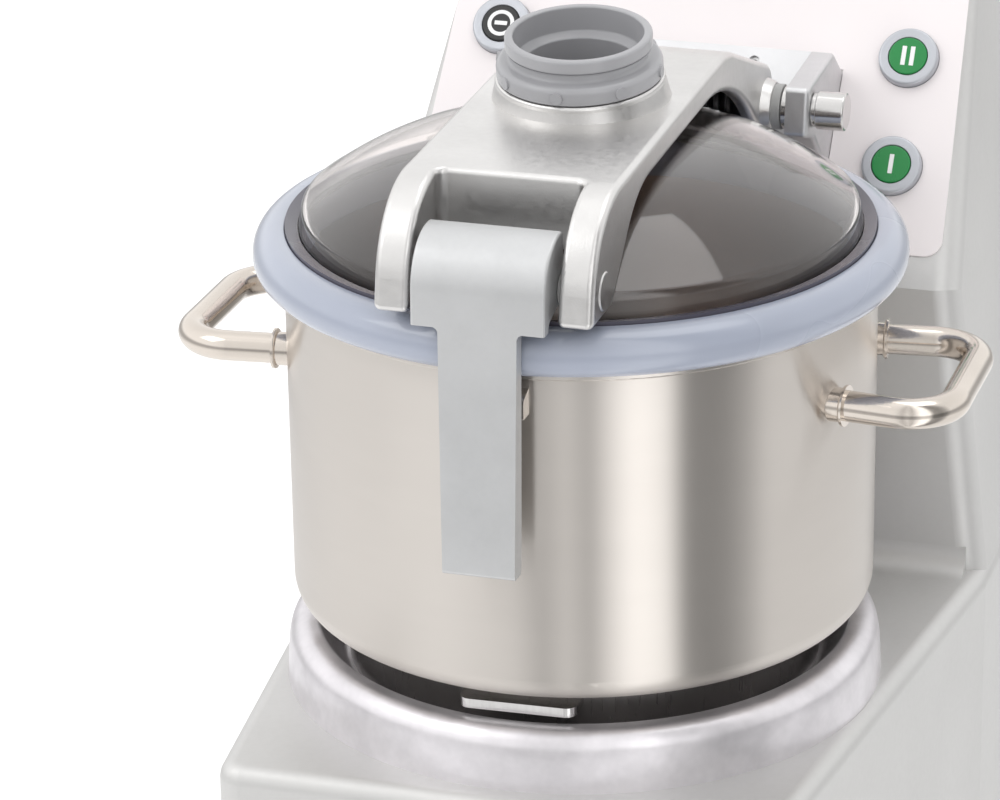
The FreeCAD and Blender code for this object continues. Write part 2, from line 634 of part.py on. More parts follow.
def housing_form(name, inset, extra):
    """Base block, column and cove, smaller by an inset and longer at the bottom by an extra."""
    plan = [
        ("-(front_half - %s)" % inset, "-(front_reach - %s)" % inset, "plan_round - %s" % inset),
        ("front_half - %s" % inset, "-(front_reach - %s)" % inset, "plan_round - %s" % inset),
        ("back_half - %s" % inset, "column_front"),
        ("back_half - %s" % inset, "back_reach - %s" % inset, "plan_round - %s" % inset),
        ("-(back_half - %s)" % inset, "back_reach - %s" % inset, "plan_round - %s" % inset),
        ("-(back_half - %s)" % inset, "column_front"),
    ]
    base = body(name + "_base")
    drawing = sketch(base, name + "_plan", "XY", [plan], offset="-(%s)" % inset)
    pad(base, name + "_block", drawing, "base_height - foot_height - %s + %s" % (inset, extra), flip=True)
    top = value("-(%s)" % inset)
    fillet(base, name + "_base_edges", "edge_round - %s" % inset,
           lambda edge: abs(edge.BoundBox.ZMin - top) < 0.01 and abs(edge.BoundBox.ZMax - top) < 0.01)
    column = body(name + "_column")
    bend_level = "column_bend - %s * tan(panel_tilt / 2 * 1 deg)" % inset
    top_level = "column_top - %s" % inset
    top_front = "column_front + (column_top - %s - column_bend) * tan(panel_tilt * 1 deg) + %s / %s" % (
        inset, inset, SLOPE_Z)
    side = [
        ("column_front + %s" % inset, "-column_root"),
        ("column_front + %s" % inset, bend_level),
        (top_front, top_level),
        ("back_reach - %s" % inset, top_level),
        ("back_reach - %s" % inset, "-column_root"),
    ]
    pad(column, name + "_column_pad", sketch(column, name + "_column_side", "YZ", [side]),
        "2 * (back_half - %s)" % inset, both=True)
    taper = "(back_half - column_step - %s - (%%s + column_root) * %s)" % (inset, COLUMN_DRAFT)
    beside = []
    for away in ("", "-"):
        beside.append([
            (away + taper % "(-column_root - 5)", "-column_root - 5"),
            (away + "(back_half + 5)", "-column_root - 5"),
            (away + "(back_half + 5)", "column_top + 5"),
            (away + taper % "(column_top + 5)", "column_top + 5"),
        ])
    pocket(column, name + "_column_taper", sketch(column, name + "_column_flanks", "XZ", beside))
    fillet(column, name + "_column_corners", "plan_round - %s" % inset,
           lambda edge: edge.BoundBox.ZMax - edge.BoundBox.ZMin > value("3 * column_root"))
    crest = value(top_level)
    fillet(column, name + "_column_edges", "edge_round - %s" % inset,
           lambda edge: abs(edge.BoundBox.ZMin - crest) < 0.01 and abs(edge.BoundBox.ZMax - crest) < 0.01)
    return [base, column]


def make_housing():
    """Thin-walled base and column, open below and behind, with its holes."""
    outer = housing_form("housing_outer", "0", "0")
    cove = body("housing_cove")
    cove_loop = [
        ("column_front + 1", "-1"),
        ("column_front + 1", "cove_round"),
        ("column_front", "cove_round"),
        ("column_front", "0", "cove_round - 0.01"),
        ("column_front - cove_round", "0"),
        ("column_front - cove_round", "-1"),
    ]
    pad(cove, "housing_cove_pad", sketch(cove, "housing_cove_profile", "YZ", [cove_loop]),
        "2 * (back_half - edge_round - cove_round * 0.2)", both=True)
    trimmed = cut("housing_cove_trimmed", cove,
                  rod("housing_cove_room", "ring_foot + seat_gap", "cove_round + 2", at_bowl()))
    shell = cut("housing_shell", fuse("housing_solid", outer + [trimmed]),
                fuse("housing_void", housing_form("housing_inner", "housing_wall", "5")))
    tools = [
        rod("housing_nose_hole", "nose_radius + seat_gap", "housing_wall + 2", at_bowl(z="-housing_wall - 1")),
        block("housing_service_hole", "2 * (cover_half - cover_lap)", "housing_wall + 2",
              "cover_low + cover_high - 2 * cover_lap",
              at_bowl("-(cover_half - cover_lap)", "back_reach - housing_wall - 1", "-(cover_low - cover_lap)")),
    ]
    for place in motor_bolt_places("-housing_wall - 1"):
        tools.append(rod("housing_motor_bolt_hole", "motor_bolt_radius + 0.1", "housing_wall + 2", place))
    for x, slope in BUTTONS.values():
        place = on_panel(x, slope, "-housing_wall - 1")
        tools.append(rod("housing_stem_hole", "stem_radius + cap_gap", "housing_wall + 2", place))
    for x, slope in BRACKET_SCREWS:
        place = on_panel(x, slope, "-housing_wall - 1")
        tools.append(rod("housing_bracket_hole", "bracket_screw_radius + 0.1", "housing_wall + 2", place))
    for x, z in COVER_SCREWS:
        place = at_bowl(x, "back_reach + 1", z, "90")
        tools.append(rod("housing_cover_hole", "cover_screw_radius + 0.1", "housing_wall + 2", place))
    holes = doc.addObject("Part::Compound", "housing_holes")
    holes.Links = tools
    keep(cut("housing", shell, holes), "housing")


BUTTONS = {
    "button_two": ("button_x", "button_high"),
    "button_one": ("button_x", "button_low"),
    "button_pulse": ("-button_x", "button_high"),
    "button_stop": ("-button_x", "button_low"),
}
BRACKET_SCREWS = [(side + "bracket_screw_x", slope)
                  for side in ("", "-") for slope in ("bracket_screw_high", "bracket_screw_low")]
COVER_SCREWS = [("%s(cover_half - cover_lap / 2)" % side, z)
                for side in ("", "-")
                for z in ("-(cover_low - cover_lap)", "(cover_high - cover_low) / 2", "cover_high - cover_lap")]


def motor_bolt_places(z):
    return round_places("motor_bolt_count", "motor_bolt_circle", "30", z)


def make_plates():
    """Bare panel plate, bare front plate, rear cover with vents, bottom plate and feet."""
    plate = body("panel_plate", on_panel())
    low = "panel_low"
    outline = [
        ("-panel_low_half", low, "panel_round"),
        ("panel_low_half", low, "panel_round"),
        ("panel_high_half", "panel_high", "panel_round"),
        ("-panel_high_half", "panel_high", "panel_round"),
    ]
    window = [
        ("-(ear_outer + seat_gap)", "bracket_low - seat_gap"),
        ("ear_outer + seat_gap", "bracket_low - seat_gap"),
        ("ear_outer + seat_gap", "bracket_high + seat_gap"),
        ("-(ear_outer + seat_gap)", "bracket_high + seat_gap"),
    ]
    rounds = [(x, slope, "bezel_radius + seat_gap") for x, slope in BUTTONS.values()]
    pad(plate, "panel_plate_pad", sketch(plate, "panel_plate_outline", "XY", [outline, window], rounds),
        "panel_plate")
    keep(plate)

    front = body("front_plate")
    outline = [
        ("-front_plate_half", "-(front_plate_top + front_plate_height)", "panel_round"),
        ("front_plate_half", "-(front_plate_top + front_plate_height)", "panel_round"),
        ("front_plate_half", "-front_plate_top", "panel_round"),
        ("-front_plate_half", "-front_plate_top", "panel_round"),
    ]
    drawing = sketch(front, "front_plate_outline", "XZ", [outline], offset="front_reach")
    pad(front, "front_plate_pad", drawing, "front_plate_wall")
    keep(front)

    cover = body("rear_cover")
    outline = [
        ("-cover_half", "-cover_low", "edge_round"),
        ("cover_half", "-cover_low", "edge_round"),
        ("cover_half", "cover_high", "edge_round"),
        ("-cover_half", "cover_high", "edge_round"),
    ]
    holes = [(x, z, "cover_screw_radius + 0.1") for x, z in COVER_SCREWS]
    drawing = sketch(cover, "rear_cover_outline", "XZ", [outline], holes, offset="-back_reach - cover_wall")
    pad(cover, "rear_cover_pad", drawing, "cover_wall")
    vents = []
    for side in ("", "-"):
        middle = side + "(vent_length / 2 + 8)"
        vents.append([
            ("%s - vent_length / 2" % middle, "-vent_start - vent_height"),
            ("%s + vent_length / 2" % middle, "-vent_start - vent_height"),
            ("%s + vent_length / 2" % middle, "-vent_start"),
            ("%s - vent_length / 2" % middle, "-vent_start"),
        ])
    slots = pocket(cover, "rear_cover_vents", sketch(cover, "rear_cover_slots", "XZ", vents))
    rows = cover.newObject("PartDesign::LinearPattern", "rear_cover_vent_rows")
    rows.Originals = [slots]
    down = next(each for each in cover.Origin.OriginFeatures if each.Role == "Z_Axis")
    rows.Direction = (down, [""])
    rows.Reversed = True
    rows.setExpression("Length", bound("(vent_count - 1) * vent_pitch"))
    rows.setExpression("Occurrences", bound("vent_count"))
    cover.Tip = rows
    keep(cover)
    screws = []
    for i, (x, z) in enumerate(COVER_SCREWS):
        loop = [
            ("0", "-(cover_wall + housing_wall)"),
            ("cover_screw_radius", "-(cover_wall + housing_wall)"),
            ("cover_screw_radius", "0"),
            ("2.2 * cover_screw_radius", "0"),
            ("2.2 * cover_screw_radius", "cover_screw_head", "cover_screw_head * 0.6"),
            ("0", "cover_screw_head"),
        ]
        screws.append(turned("rear_cover_screw_%d" % i, loop,
                             at_bowl(x, "back_reach + cover_wall", z, "-90")))
    together("rear_cover_screws", screws)

    bottom = body("bottom_plate")
    step = "(housing_wall + seat_gap)"
    plan = [
        ("-(front_half - %s)" % step, "-(front_reach - %s)" % step, "plan_round - %s" % step),
        ("front_half - %s" % step, "-(front_reach - %s)" % step, "plan_round - %s" % step),
        ("back_half - %s" % step, "column_front"),
        ("back_half - %s" % step, "back_reach - %s" % step, "plan_round - %s" % step),
        ("-(back_half - %s)" % step, "back_reach - %s" % step, "plan_round - %s" % step),
        ("-(back_half - %s)" % step, "column_front"),
    ]
    gland_hole = [("-gland_x", "gland_y", "gland_radius * 0.7")]
    drawing = sketch(bottom, "bottom_plate_plan", "XY", [plan], gland_hole, offset=BOTTOM)
    pad(bottom, "bottom_plate_pad", drawing, "bottom_wall")
    keep(bottom)

    feet = []
    for i, (x, y) in enumerate([("foot_front_x", "-foot_front_y"), ("-foot_front_x", "-foot_front_y"),
                                ("foot_back_x", "foot_back_y"), ("-foot_back_x", "foot_back_y")]):
        loop = [
            ("0", "-foot_height"),
            ("foot_radius * 0.85", "-foot_height", "3"),
            ("foot_radius", "0"),
            ("0", "0"),
        ]
        feet.append(turned("foot_%d" % i, loop, at_bowl(x, y, BOTTOM)))
    together("feet", feet)

    loop = [
        ("gland_bore", "-gland_drop"),
        ("gland_radius * 0.75", "-gland_drop", "2"),
        ("gland_radius", "-gland_drop * 0.5"),
        ("gland_radius", "0"),
        ("gland_radius * 0.7 - 0.1", "0"),
        ("gland_radius * 0.7 - 0.1", "bottom_wall + 8"),
        ("gland_bore", "bottom_wall + 8"),
    ]
    keep(turned("cable_gland", loop, at_bowl("-gland_x", "gland_y", BOTTOM)))


def make_base_ring():
    """Conical cast ring with a floor that the motor's nose passes through."""
    loop = [
        ("ring_hole", "0"),
        ("ring_foot", "0"),
        ("ring_shoulder", "ring_height", "4.6"),
        ("ring_mouth", "ring_height", "2.5"),
        ("ring_pan", "ring_floor", "4"),
        ("ring_hole", "ring_floor"),
    ]
    casting = turned("base_ring_casting", loop)
    holes = doc.addObject("Part::Compound", "base_ring_holes")
    holes.Links = [rod("base_ring_hole", "motor_bolt_radius + 0.1", "ring_floor - 1", place)
                   for place in motor_bolt_places("-1")]
    keep(cut("base_ring", casting, holes), "base_ring")


def make_bowl():
    """Drawn bowl with a rolled rim, and what is welded to it."""
    inner = "(bowl_radius - bowl_wall)"
    loop = [
        ("chimney_radius - chimney_wall", "bowl_bottom"),
        ("bowl_radius", "bowl_bottom", "bowl_corner"),
        ("bowl_radius", "bowl_rim - rim_depth"),
        ("bowl_radius + rim_lip", "bowl_rim - rim_depth", "1"),
        ("bowl_radius + rim_lip", "bowl_rim", "1.6"),
        (inner, "bowl_rim", "1.2"),
        (inner, "bowl_bottom + bowl_wall", "bowl_corner - bowl_wall"),
        ("chimney_radius - chimney_wall", "bowl_bottom + bowl_wall"),
    ]
    keep(turned("bowl", loop))
    floor = "(bowl_bottom + bowl_wall)"
    loop = [
        ("chimney_radius - chimney_wall", floor),
        ("chimney_flange", floor),
        ("chimney_flange", floor + " + 2"),
        ("chimney_radius", floor + " + 2", "1"),
        ("chimney_radius", "chimney_top", "1.5"),
        ("shaft_radius + 3", "chimney_top", "1"),
        ("shaft_radius + 3", "chimney_top - 3"),
        ("chimney_radius - chimney_wall", "chimney_top - 5"),
    ]
    keep(turned("bowl_chimney", loop))
    loop = [
        ("foot_ring_radius - foot_ring_wall", "ring_floor"),
        ("foot_ring_radius", "ring_floor"),
        ("foot_ring_radius", "bowl_bottom"),
        ("foot_ring_radius - foot_ring_wall", "bowl_bottom"),
    ]
    keep(turned("bowl_foot_ring", loop))

    lug = body("bowl_lug")
    outline = [
        ("-lug_half", "-lug_reach", "6"),
        ("lug_half", "-lug_reach", "6"),
        ("lug_half", "-(foot_ring_radius - 6)"),
        ("-lug_half", "-(foot_ring_radius - 6)"),
    ]
    pad(lug, "bowl_lug_pad", sketch(lug, "bowl_lug_outline", "XY", [outline], offset="lug_low"), "lug_thick")
    doc.recompute()
    post = rod("bowl_lug_post", "foot_ring_radius", "lug_thick + 2", at_bowl(z="lug_low - 1"))
    trimmed = cut("bowl_lug_trimmed", lug, post)
    lugs = []
    for i in range(int(value("lug_count"))):
        copy = doc.addObject("Part::Compound", "bowl_lug_copy")
        copy.Links = [trimmed]
        turn = "(lug_angle + %d * 360 / lug_count) * 1 deg" % i
        copy.Placement = FreeCAD.Placement(V(0, 0, 0), FreeCAD.Rotation(V(0, 0, 1), 1))
        copy.setExpression("Placement.Rotation.Angle", bound(turn))
        copy.setExpression("Placement.Base.x", bound("(%s) * sin(%s)" % (BOWL_AXIS, turn)))
        copy.setExpression("Placement.Base.y", bound("(%s) * (1 - cos(%s))" % (BOWL_AXIS, turn)))
        lugs.append(copy)
    together("bowl_locating_lugs", lugs)

    catch = body("bowl_catch_block")
    profile = [
        ("-(bowl_radius - 4)", "catch_high"),
        ("-catch_reach", "catch_high - 5", "3"),
        ("-catch_reach", "catch_low", "1"),
        ("-(bowl_radius - 4)", "catch_low"),
    ]
    pad(catch, "bowl_catch_pad", sketch(catch, "bowl_catch_profile", "YZ", [profile]), "2 * catch_half",
        both=True)
    wall = rod("bowl_catch_wall", "bowl_radius", "catch_high - catch_low + 10", at_bowl(z="catch_low - 5"))
    keep(cut("bowl_catch", catch, wall), "bowl_catch")


def make_handles():
    """Two bent round bars, each on two weld flanges that meet the bowl's wall."""
    lean = "atan(handle_spread / (handle_out - handle_root_x)) / 1 deg"
    flanges = []
    for label, side in (("handle_right", ""), ("handle_left", "-")):
        item = body(label)
        route = [
            (side + "handle_out", "0"),
            (side + "handle_out", "handle_root_y + handle_spread", "handle_bend"),
            (side + "handle_root_x", "handle_root_y"),
        ]
        spine = sketch(item, label + "_route", "XY", path=route, offset="handle_level")
        section = sketch(item, label + "_section", "XZ",
                         circles=[(side + "handle_out", "handle_level", "handle_bar")])
        bar = item.newObject("PartDesign::AdditivePipe", label + "_bar")
        bar.Profile = section
        bar.Spine = spine
        mirror = item.newObject("PartDesign::Mirrored", label + "_mirror")
        mirror.Originals = [bar]
        plane = next(each for each in item.Origin.OriginFeatures if each.Role == "XZ_Plane")
        mirror.MirrorPlane = (plane, [""])
        item.Tip = mirror
        keep(item)
        for end in ("", "-"):
            name = "%s_flange%s" % (label, "_back" if end else "_front")
            loop = [
                ("0", "0"),
                ("0", "handle_flange"),
                ("-handle_flange_wall", "handle_flange", "1"),
                ("-handle_flange_wall", "handle_stub"),
                ("-16", "handle_stub"),
                ("-16", "0"),
            ]
            spin = "%s%s" % ("" if end == "" else "-", lean) if side == "" else (
                "180 - %s" % lean if end == "" else "180 + %s" % lean)
            place = at_bowl(side + "handle_root_x", end + "handle_root_y", "handle_level")
            blank = turned(name, loop, place, axis="H_Axis", spin=spin)
            wall = rod(name + "_wall", "bowl_radius", "60", at_bowl(z="handle_level - 30"))
            flanges.append(cut(name + "_trimmed", blank, wall))
    together("handle_flanges", flanges)


SEAL_LOW = "(bowl_rim + lid_gap)"
SEAL_HIGH = "(bowl_rim + lid_gap + seal_height)"
FLANGE_LOW = "(bowl_rim + lid_gap + seal_height - seal_groove)"
FLANGE_HIGH = "(bowl_rim + lid_gap + seal_height - seal_groove + dome_flange)"


def dome_line(grow):
    """The dome's outer line from its flange to its crown, grown outwards."""
    return [
        ("dome_foot + %s" % grow, FLANGE_HIGH + " + %s" % grow),
        ("dome_shoulder_radius + %s" % grow, "dome_shoulder + %s" % grow, "7 + %s" % grow),
        ("dome_break + %s * 0.3" % grow, "dome_top + %s" % grow, "dome_crown_round + %s" % grow),
    ]


def make_lid():
    """Seal ring, clear dome and the gasket that seats it under the arm."""
    loop = [
        ("seal_inner", SEAL_LOW, "1"),
        ("seal_radius", SEAL_LOW, "seal_low_round"),
        ("seal_radius", SEAL_HIGH, "seal_high_round"),
        ("dome_edge + 0.3", SEAL_HIGH, "0.8"),
        ("dome_edge + 0.3", FLANGE_LOW),
        ("seal_inner", FLANGE_LOW),
    ]
    keep(turned("lid_seal_ring", loop))
    loop = [("dome_edge", FLANGE_LOW), ("dome_edge", FLANGE_HIGH, "1")]
    loop += dome_line("0")
    loop += [
        ("dome_hole", "dome_top"),
        ("dome_hole", "dome_top - dome_wall"),
        ("dome_break - dome_wall * 0.3", "dome_top - dome_wall", "dome_crown_round - dome_wall"),
        ("dome_shoulder_radius - dome_wall", "dome_shoulder - dome_wall * 0.6", "4"),
        ("dome_foot - dome_wall", FLANGE_LOW),
    ]
    keep(turned("lid_dome", loop))
    keep(turned("lid_gasket", ring_loop("dome_hole + 1", "gasket_radius", "dome_top", "arm_under")))


def make_arm():
    """Cast arm: fork in front, seat for the feed tube, and two cheeks at the hinge."""
    arm = body("lid_arm_casting")
    hub_back = "(hinge_y + hub_round)"
    hub_low = "(hinge_z - hub_round)"
    side = [
        ("-arm_front", "arm_tip", "3"),
        ("-(arm_front - 10)", "arm_crest_front", "50"),
        ("90", "arm_crest_back", "60"),
        (hub_back, "hinge_z + hub_round + 2", "14"),
        (hub_back, hub_low, "14"),
        ("hinge_y - 8", hub_low, "6"),
        ("hinge_y - 69", "arm_under + 3", "145"),
        ("-88", "arm_under", "60"),
        ("-arm_tip_back", "arm_tip", "3"),
    ]
    pad(arm, "lid_arm_pad", sketch(arm, "lid_arm_side", "YZ", [side]), "2 * arm_half", both=True)
    outer = value("arm_half")
    fillet(arm, "lid_arm_edges", "arm_round",
           lambda edge: all(abs(abs(point.X) - outer) < 0.01 for point in edge.Vertexes)
           and abs(edge.BoundBox.XMax - edge.BoundBox.XMin) < 0.01)
    slot = [
        ("-fork_half", "-(arm_front + 20)"),
        ("fork_half", "-(arm_front + 20)"),
        ("fork_half", "-fork_depth", "5"),
        ("-fork_half", "-fork_depth", "5"),
    ]
    pocket(arm, "lid_arm_slot", sketch(arm, "lid_arm_slot_plan", "XY", [slot]))
    doc.recompute()
    crest = value("arm_tip + 2")
    wide = value("fork_half")
    back = -value("fork_depth")
    fillet(arm, "lid_arm_slot_edges", "slot_round",
           lambda edge: all(point.Z > crest and abs(point.X) < wide + 0.01 and point.Y < back + 0.01
                            for point in edge.Vertexes)
           and any(abs(abs(point.X) - wide) < 0.01 or abs(point.Y - back) < 0.01 for point in edge.Vertexes)
           and edge.BoundBox.ZMin > value("arm_under"))
    hollow = [
        ("hinge_y - 92", "arm_under + 8"),
        ("hinge_y - 92", "hinge_z - 60"),
        ("hinge_y + 40", "hinge_z - 60"),
        ("hinge_y + 40", "hinge_z + 4.5"),
        ("hinge_y - 20", "hinge_z + 24.5"),
    ]
    pocket_middle(arm, "lid_arm_hollow", sketch(arm, "lid_arm_hollow_side", "YZ", [hollow]), "2 * cheek_inner")
    under = [("0", "bowl_rim"), ("dome_edge + dome_gap", "bowl_rim"), ("dome_edge + dome_gap", SEAL_HIGH)]
    under += dome_line("dome_gap")
    under += [("0", "dome_top + dome_gap")]
    doc.recompute()
    relief = arm.newObject("PartDesign::Groove", "lid_arm_relief")
    relief.Profile = sketch(arm, "lid_arm_relief_profile", "XZ", [under])
    relief.ReferenceAxis = (relief.Profile[0], ["V_Axis"])
    relief.Angle = 360
    pocket(arm, "lid_arm_hinge_bore",
           sketch(arm, "lid_arm_hinge_circle", "YZ", circles=[("hinge_y", "hinge_z", "hinge_pin_radius + bush_wall")]))
    pocket(arm, "lid_arm_latch_bore",
           sketch(arm, "lid_arm_latch_circle", "YZ", circles=[("-latch_y", "latch_z", "latch_pin_radius")]))
    for name, away in (("right", ""), ("left", "-")):
        seat = "%s(arm_half - latch_head_wall + latch_head_proud)" % away
        drawing = sketch(arm, "lid_arm_head_%s" % name, "YZ",
                         circles=[("-latch_y", "latch_z", "latch_head_radius")], offset=seat)
        pocket(arm, "lid_arm_head_seat_%s" % name, drawing, "latch_head_wall + 5", flip=(away == ""))
    magnet = sketch(arm, "lid_arm_magnet_circle", "XY", circles=[("36", "-70", "magnet_radius")],
                    offset="arm_under - 6")
    pocket(arm, "lid_arm_magnet_hole", magnet, "magnet_height + 6", flip=True)
    boss = turned("lid_arm_boss", [
        ("0", "0"),
        ("boss_radius + 4", "0"),
        ("boss_radius", "boss_depth - 3"),
        ("boss_radius", "boss_depth", "1.5"),
        ("0", "boss_depth"),
    ], shifted_tube("-boss_depth"))
    hubs = []
    for name, side in (("right", ""), ("left", "-")):
        hubs.append(turned("lid_arm_hub_%s" % name, [
            (side + "(cheek_inner + 1)", "hinge_pin_radius + bush_wall"),
            (side + "(cheek_inner + 1)", "hub_round"),
            (side + "(arm_half - 2)", "hub_round"),
            (side + "hub_reach", "hub_end", "0.8"),
            (side + "hub_reach", "hinge_pin_radius + bush_wall"),
        ], HINGE, axis="H_Axis"))
    bore = rod("lid_arm_tube_bore", "tube_outer + seat_gap", "tube_drop + 10", shifted_tube("-tube_drop"))
    keep(cut("lid_arm", fuse("lid_arm_with_boss", [arm, boss] + hubs), bore), "lid_arm")
    keep(rod("lid_magnet", "magnet_radius", "magnet_height", at_bowl("36", "-70", "arm_under")), "lid_magnet")


def shifted_tube(along):
    """A place up or down the feed tube's leaning axis."""
    y = "-(%s) * sin(tube_tilt * 1 deg)" % along
    z = "tube_seat + (%s) * cos(tube_tilt * 1 deg)" % along
    return at_bowl("0", y, z, "tube_tilt")


def make_feed_tube():
    """Grey feed tube whose bayonet collar clamps the dome under the arm."""
    item = body("feed_tube", TUBE)
    loop = [
        ("tube_inner", "-tube_drop"),
        ("tube_outer", "-tube_drop"),
        ("tube_outer", "seat_gap"),
        ("collar_radius", "seat_gap", "1"),
        ("collar_radius", "collar_height", "3.5"),
        ("tube_neck", "collar_height + 1.2", "2"),
        ("tube_neck", "collar_height + 6", "2"),
        ("tube_rim", "tube_rise - 7", "1.5"),
        ("tube_rim", "tube_rise", "1.4"),
        ("tube_mouth", "tube_rise", "1"),
        ("tube_mouth - 0.8", "tube_step + 2.5", "1"),
        ("tube_inner", "tube_step", "1"),
    ]
    profile = sketch(item, "feed_tube_profile", "XZ", [loop])
    turn = item.newObject("PartDesign::Revolution", "feed_tube_turn")
    turn.Profile = profile
    turn.ReferenceAxis = (profile, ["V_Axis"])
    turn.Angle = 360
    drawing = sketch(item, "feed_tube_grip", "XZ",
                     circles=[("0", "collar_height * 0.52", "grip_radius * 0.7")],
                     offset="collar_radius - 2")
    grip = pad(item, "feed_tube_grip_pad", drawing, "2 + grip_height")
    pattern(item, "feed_tube_grips", grip, "grip_count")
    keep(item)


def make_latch():
    """T-shaped latch lever on its pin, hooked under the bowl's catch."""
    lever = body("latch_lever")
    side = [
        ("-lever_front", "lever_low", "2"),
        ("-(lever_front - 6)", "lever_high", "27"),
        ("-(latch_y - 4)", "lever_high", "3"),
        ("-(latch_y - 4)", "latch_z"),
        ("-(latch_y + 2)", "latch_z - lever_hub + 2"),
        ("-lever_back", "latch_z - lever_hub - 3", "4"),
        ("-(lever_back + 1)", "lever_low", "2"),
    ]
    hook = [
        ("-(lever_back + 4)", "catch_low + 4"),
        ("-lever_back", "catch_low + 4"),
        ("-(catch_reach + 1.5)", "catch_low - 1.2"),
        ("-(bowl_radius + 3)", "catch_low - 2.6"),
        ("-(bowl_radius + 3)", "catch_low - 8"),
        ("-lever_back", "catch_low - 13"),
        ("-(lever_back + 4)", "catch_low - 13"),
    ]
    pad(lever, "latch_lever_pad", sketch(lever, "latch_lever_side", "YZ", [side]), "2 * lever_half", both=True)
    hub = sketch(lever, "latch_lever_hub_circle", "YZ", circles=[("-latch_y", "latch_z", "lever_hub")])
    pad(lever, "latch_lever_hub", hub, "2 * lever_half", both=True)
    outer = value("lever_half")
    fillet(lever, "latch_lever_head_edges", "1.5",
           lambda edge: all(abs(abs(point.X) - outer) < 0.01 for point in edge.Vertexes)
           and edge.BoundBox.XMax - edge.BoundBox.XMin < 0.01
           and edge.BoundBox.YMin < value("-(lever_front - 8)"))
    beside = []
    for away in ("", "-"):
        beside.append([
            (away + "(lever_half + 5)", "lever_shoulder"),
            (away + "lever_tail_half", "lever_shoulder", "3"),
            (away + "lever_end_half", "lever_low - 5"),
            (away + "(lever_half + 5)", "lever_low - 5"),
        ])
    pocket(lever, "latch_lever_tail", sketch(lever, "latch_lever_front", "XZ", beside))
    pad(lever, "latch_lever_hook", sketch(lever, "latch_lever_hook_side", "YZ", [hook]), "2 * hook_half", both=True)
    pocket(lever, "latch_lever_bore",
           sketch(lever, "latch_lever_circle", "YZ",
                  circles=[("-latch_y", "latch_z", "latch_pin_radius + running_fit")]))
    keep(lever)

    end = "(arm_half + latch_head_proud)"
    head = "(arm_half + latch_head_proud - latch_head_wall)"
    loop = [
        ("-" + end, "0"),
        ("-" + end, "latch_head_radius - 0.05", "1.2"),
        ("-" + head, "latch_head_radius - 0.05"),
        ("-" + head, "latch_pin_radius"),
        (head, "latch_pin_radius"),
        (head, "latch_head_radius - 0.05"),
        (end, "latch_head_radius - 0.05", "1.2"),
        (end, "0"),
    ]
    keep(turned("latch_pin", loop, LATCH, axis="H_Axis"))
    washers = []
    for name, side in (("right", ""), ("left", "-")):
        loop = [
            (side + "(lever_half + 0.4)", "latch_pin_radius + running_fit"),
            (side + "(lever_half + 0.4)", "lever_hub"),
            (side + "fork_half", "lever_hub"),
            (side + "fork_half", "latch_pin_radius + running_fit"),
        ]
        washers.append(turned("latch_washer_%s" % name, loop, LATCH, axis="H_Axis"))
    together("latch_washers", washers)


